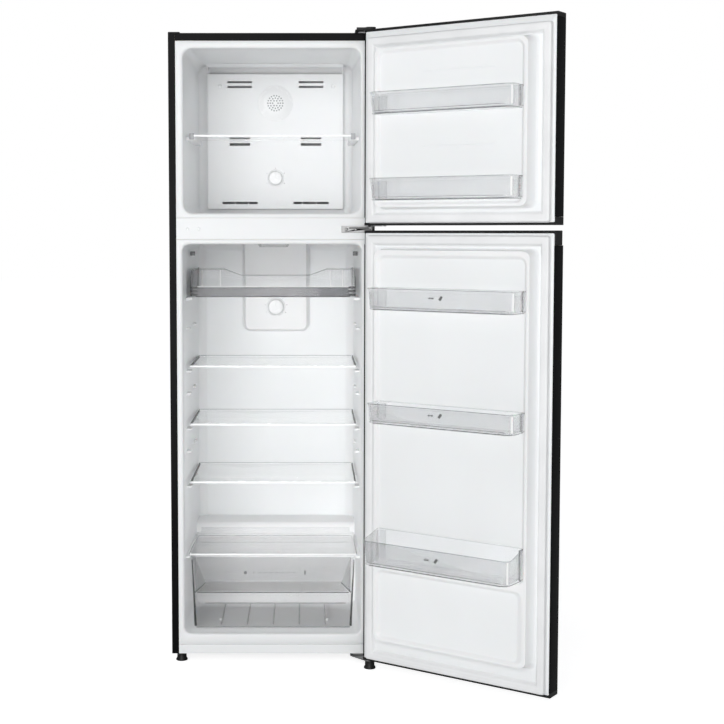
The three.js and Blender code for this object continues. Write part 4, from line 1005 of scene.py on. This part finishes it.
def crisper_cover_edges():
    """A painted highlight along the cover's front edge, and dark lines along its sides and across it that
    are painted shade.
    """
    low, high = cad("crisper_cover")
    front, bottom, back = low[1], low[2], 278
    # A pale strip along the front edge: painted highlight.
    bright = Shape()
    bright.box(low[0] + 2, high[0] - 2, front + 0.2, front + 3, bottom + 0.4, bottom + 5.2, 0.8)
    body = BODIES["crisper_cover"]
    finish_piece("crisper_cover_painted_highlight_edge", bright, body, PAINTED_HIGHLIGHT, bevel=0.5)
    # Dark lines where the clear edges look dark: painted shade.
    lines = Shape()
    shares = [step / 8 for step in range(9)]
    sweep = [(high[0] - 0.8 - 9 * share ** 2, front + 4 + (back - 2 - front) * share, bottom + 4.4)
             for share in shares]
    lines.mirrored_tubes(sweep, 1.1)
    lines.across(low[0] + 12, high[0] - 12, back, bottom + 4.4, 0.8)
    lines.across(low[0] + 20, high[0] - 20, 190, bottom + 4.4, 0.5)
    finish_piece("crisper_cover_edge_lines", lines, body, CLEAR_PAINTED_SHADE, angle=60)


def chiller_edges():
    """The tray's front band and its dark end blocks; thin dark strips inside its side walls and dark lines
    along its edges, which are painted shade; pale ribs on its back wall and a pale bar along its front,
    which are painted highlights; and two dark stops on the room's walls."""
    body = "chiller_tray"
    low, high = cad(body)
    half, front, back, floor = high[0], low[1], high[1], low[2]
    band = Shape()
    band.box(-half + 20, half - 20, front + 0.2, front + 2.4, floor + 2, floor + 25, 0.6)
    # Thin dark strips inside the side walls: painted shade for the walls seen edge-on.
    band.mirrored_boxes(half - 3.6, half - 2.8, front + 10, back - 8, floor + 5, high[2] - 3, 0.3)
    finish_piece("chiller_bands", band, body, SMOKE_BAND_AND_PAINTED_SHADE, angle=60)
    dark = Shape()
    for z0, z1 in ((floor + 3, floor + 10), (floor + 13, floor + 20), (floor + 23.5, floor + 29.5)):
        dark.mirrored_boxes(half - 20, half - 0.4, front + 0.6, front + 7, z0, z1, 1.5)
    # Dark lines along the tray's side, front and back edges: painted shade.
    dark.mirrored_tubes([(half - 1.5, 300, floor + 4), (half - 1.2, back - 1.5, high[2] - 2)], 1.9, 1.3)
    dark.mirrored_tubes([(half - 1, front + 1.5, floor + 26), (half - 1, front + 5, high[2] - 20)], 0.8)
    dark.across(-half + 16, half - 16, front + 1, floor + 1.4, 1.2)
    dark.across(-half + 16, half - 16, front + 1, floor + 25.6, 1.0)
    profile = [(-half + 3, -3), (-150, -3), (-100, -21), (100, -21), (150, -3), (half - 3, -3)]
    top = high[2] - 3.6
    dark.tube([(x, back - 1.5, top + drop) for x, drop in profile], 0.8)
    finish_piece("chiller_edge_lines", dark, body, SMOKE_DARK_AND_PAINTED_SHADE, angle=60)
    # Pale ribs on the back wall and a pale bar along the front: painted highlights.
    lit = Shape()
    for x in (-217, -163, 163, 198):
        lit.box(x - 1.8, x + 1.8, back - 4, back - 3, floor + 6, top - 6, 0.4)
    lit.across(-half + 20, half - 20, front + 1.4, floor + 28.6, 1.2)
    finish_piece("chiller_painted_highlight_ribs", lit, body, PAINTED_HIGHLIGHT, slot="smoky_plastic", angle=60)
    stops = Shape()
    stops.mirrored_boxes(223, 236, 196, 212, 1112, 1124, 1.5)
    finish_piece("chiller_stops", stops, "cabinet", SMOKE_DARK_AND_PAINTED_SHADE, bevel=0.8)


# ---- controls


def disc(node):
    """A round node's centre (x, z), its radius, its front, and the wall that it sits on."""
    low, high = cad(node)
    centre = ((low[0] + high[0]) / 2, (low[2] + high[2]) / 2)
    return centre, (high[0] - low[0]) / 2, low[1], high[1] + 0.3


def knob(name, node):
    """A round dial in its dish: a cap that tapers forward, with a raised pointer."""
    (x, z), radius, cap_front, wall = disc(node)
    front = cap_front + 1.2
    profile = [
        (radius, wall - 0.3), (radius, wall - 2.4), (radius * 0.97, wall - 3.4),
        (radius * 0.9, front + 1.6), (radius * 0.87, front + 0.5), (radius * 0.82, front),
        (radius * 0.5, front + 0.3),
    ]
    shape = Shape().turned(profile, (x, z), 48)
    shape.box(x - 1.4, x + 1.4, front - 1.1, front + 1, z + 2, z + radius * 0.78, 0.8)
    finish_piece(name, shape, node, MOULDING, node, angle=30, bevel=0.25)
    skirt = ((0.8, wall + 0.4), (0.8, wall - 2.2), (1.4, wall - 2.8), (3.2, wall - 2.4), (4.6, wall + 0.4))
    rings = [lift(circle(x, z, radius + grow, 48), "y", y) for grow, y in skirt]
    finish_piece(name + "_dish", Shape().rings(rings, loop=True), "cabinet", MOULDING, angle=40)


def dial_marks(node, count):
    """Generic tick marks of growing length round a dial."""
    (x, z), radius, _, wall = disc(node)
    start = radius + 7
    shape = Shape()
    for index in range(count):
        share = index / (count - 1)
        turn = Matrix.Rotation(-math.radians(210 - 240 * share), 4, "Y")
        corners = rounded(start, start + 2 + 2.5 * share, -0.45, 0.45, 0.2, 2)
        points = [turn @ Vector((u, 0, v)) + Vector((x, 0, z)) for u, v in corners]
        shape.rings([[(p.x, p.y + y, p.z) for p in points] for y in (wall - 0.15, wall + 0.2)])
    finish_piece(node + "_marks", shape, "cabinet", INK)


def fan_grille():
    """The domed fan guard: rings of small holes round its middle, and a grey disc behind them that is
    painted shade for the dark duct seen through the holes.
    """
    centre, radius, front, wall = disc("fan_grille")
    profile = [
        (18, front + 4.2), (30, front + 5), (44, wall - 0.8), (44, wall - 0.3), (radius, wall - 0.3),
        (radius, wall - 0.9), (radius - 1.5, wall - 1.5), (46, wall - 1.8), (40, front + 5.2),
        (34, front + 3.4), (26, front + 2.2), (18, front + 1.8),
    ]
    shape = Shape().turned(profile, centre, 56)
    piece = finish_piece("fan_guard", shape, "cabinet", MOULDING, "fan_grille", angle=30)
    holes = Shape()
    for ring, count in ((8, 6), (15, 12), (22, 18)):
        for x, z in circle(*centre, ring, count):
            holes.prism(circle(x, z, 2.4, 10), "y", front - 4, front + 6)
    cut_out(piece, holes)
    # A grey disc behind the holes: painted shade.
    shade_disc = Shape().prism(circle(*centre, 28, 32), "y", front + 5.2, front + 5.8)
    finish_piece("fan_guard_painted_shade_disc", shade_disc, "cabinet", GREY_TRIM)


# ---- fixings


def screw(shape, x, y, z, radius):
    """A pan-head screw whose head faces forwards."""
    profile = [(radius, y + 0.2), (radius, y - 0.5), (radius * 0.92, y - 1.1), (radius * 0.7, y - 1.7),
               (radius * 0.4, y - 1.95)]
    shape.turned(profile, (x, z), 24)


def fixings():
    """Screws of the middle hinge, plugs in the mullion, caps over the cover's screws, corner trim."""
    # name, material, places across, depth, height, radius
    rows = (
        ("hinge_screws", CHROME, (199, 224), -3, 1186, 4.4),
        ("mullion_plugs", MOULDING, (-226, -196), cad("mullion_cover")[0][1] - 0.1, 1187, 4.2),
        ("cover_screw_caps", MOULDING, (-163, 170), 399.8, 1606, 6.2),
    )
    for name, material, places, y, z, radius in rows:
        shape = Shape()
        for x in places:
            screw(shape, x, y, z, radius)
        finish_piece(name, shape, "cabinet", material, angle=30)
    skirt = Shape().box(224, 268, -44.2, -41, 1707.6, 1713.5, 0.6)
    finish_piece("top_hinge_skirt", skirt, "cabinet", BLACK)
    corner = Shape().box(-HALF, -HALF + 31, 0.4, 30, TOP - 0.3, TOP + 3, 2)
    finish_piece("corner_trim", corner, "cabinet", BLACK, bevel=1.0)


# ---- the studio


def add_area(name, place, target, size, power):
    """A soft rectangular light, in millimetres, aimed at a point."""
    data = bpy.data.lights.new(name, "AREA")
    data.shape = "RECTANGLE"
    data.size, data.size_y = (side * MM for side in size)
    data.energy = power
    lamp = new_object(name, data)
    lamp.location = TO_FRAME @ Vector(place)
    aim = (TO_FRAME @ Vector(target)) - lamp.location
    lamp.rotation_euler = aim.to_track_quat("-Z", "Y").to_euler()
    return lamp


def backdrop():
    """White behind the refrigerator, and a softer, cooler light from all round it."""
    world = bpy.data.worlds.new("studio")
    bpy.context.scene.world = world
    world.use_nodes = True
    tree = world.node_tree
    paper = tree.nodes["Background"]
    ambient = tree.nodes.new("ShaderNodeBackground")
    for node, colour, strength in ((paper, (1, 1, 1, 1), 1.0), (ambient, (0.96, 0.98, 1, 1), 0.30)):
        node.inputs["Color"].default_value = colour
        node.inputs["Strength"].default_value = strength
    seen = tree.nodes.new("ShaderNodeLightPath")
    choice = tree.nodes.new("ShaderNodeMixShader")
    tree.links.new(seen.outputs["Is Camera Ray"], choice.inputs["Fac"])
    tree.links.new(ambient.outputs["Background"], choice.inputs[1])
    tree.links.new(paper.outputs["Background"], choice.inputs[2])
    tree.links.new(choice.outputs["Shader"], tree.nodes["World Output"].inputs["Surface"])


def lights():
    """Large soft lights in front, and a weak one in each room's opening."""
    middle = (0, 200, 850)
    add_area("front_key", (-700, -4300, 1400), middle, (3200, 3000), 128)
    add_area("left_key", (-2600, -2900, 2300), middle, (1800, 2000), 16)
    add_area("right_fill", (2600, -3300, 1700), middle, (1800, 2200), 2)
    # name, room, power, gap above the light
    rooms = (("freezer_fill", FREEZER, 0.11, 190), ("fridge_fill", FRIDGE, 0.56, 230))
    for name, room, power, above in rooms:
        low, high = room["low"] + 20, room["high"] - above
        place = (0, 8, (low + high) / 2)
        fill = add_area(name, place, (0, 400, (low + high) / 2), (2 * room["half"] - 40, high - low), power)
        fill.visible_camera = False
        fill.visible_transmission = False


def floor():
    mesh = bmesh.new()
    bmesh.ops.create_grid(mesh, x_segments=1, y_segments=1, size=30)
    plane = new_object("floor", mesh_data("floor", mesh))
    plane.data.materials.append(pale_floor())
    bpy.context.scene.view_settings.view_transform = "Standard"


def camera():
    """At eye height, a little right of the cabinet's middle, looking slightly down."""
    tilt_down = 4.07
    data = bpy.data.cameras.new("camera")
    data.lens = 69.16
    data.sensor_width = 36
    data.shift_x = 0.072
    data.shift_y = -0.045
    eye = new_object("camera", data)
    eye.location = TO_FRAME @ Vector((101.5, -3731.6, 1183))
    eye.rotation_euler = (math.radians(90 - tilt_down), 0, 0)
    bpy.context.scene.camera = eye


# ---- the refrigerator

paint_carried_over()
freezer_liner()
fridge_liner()
soften_plain_nodes()
duct_cover()
for build in (door_liner, door_foam, door_skin, gasket):
    for door in DOORS:
        build(door)
door_bins()
freezer_shelf()
for index in (1, 2, 3):
    fridge_shelf(index)
crisper_edges()
crisper_mark()
crisper_cover_edges()
chiller_edges()
knob("freezer_dial", "freezer_knob")
knob("fridge_dial", "fridge_knob")
dial_marks("freezer_knob", 5)
dial_marks("fridge_knob", 7)
fan_grille()
fixings()
backdrop()
lights()
floor()
camera()
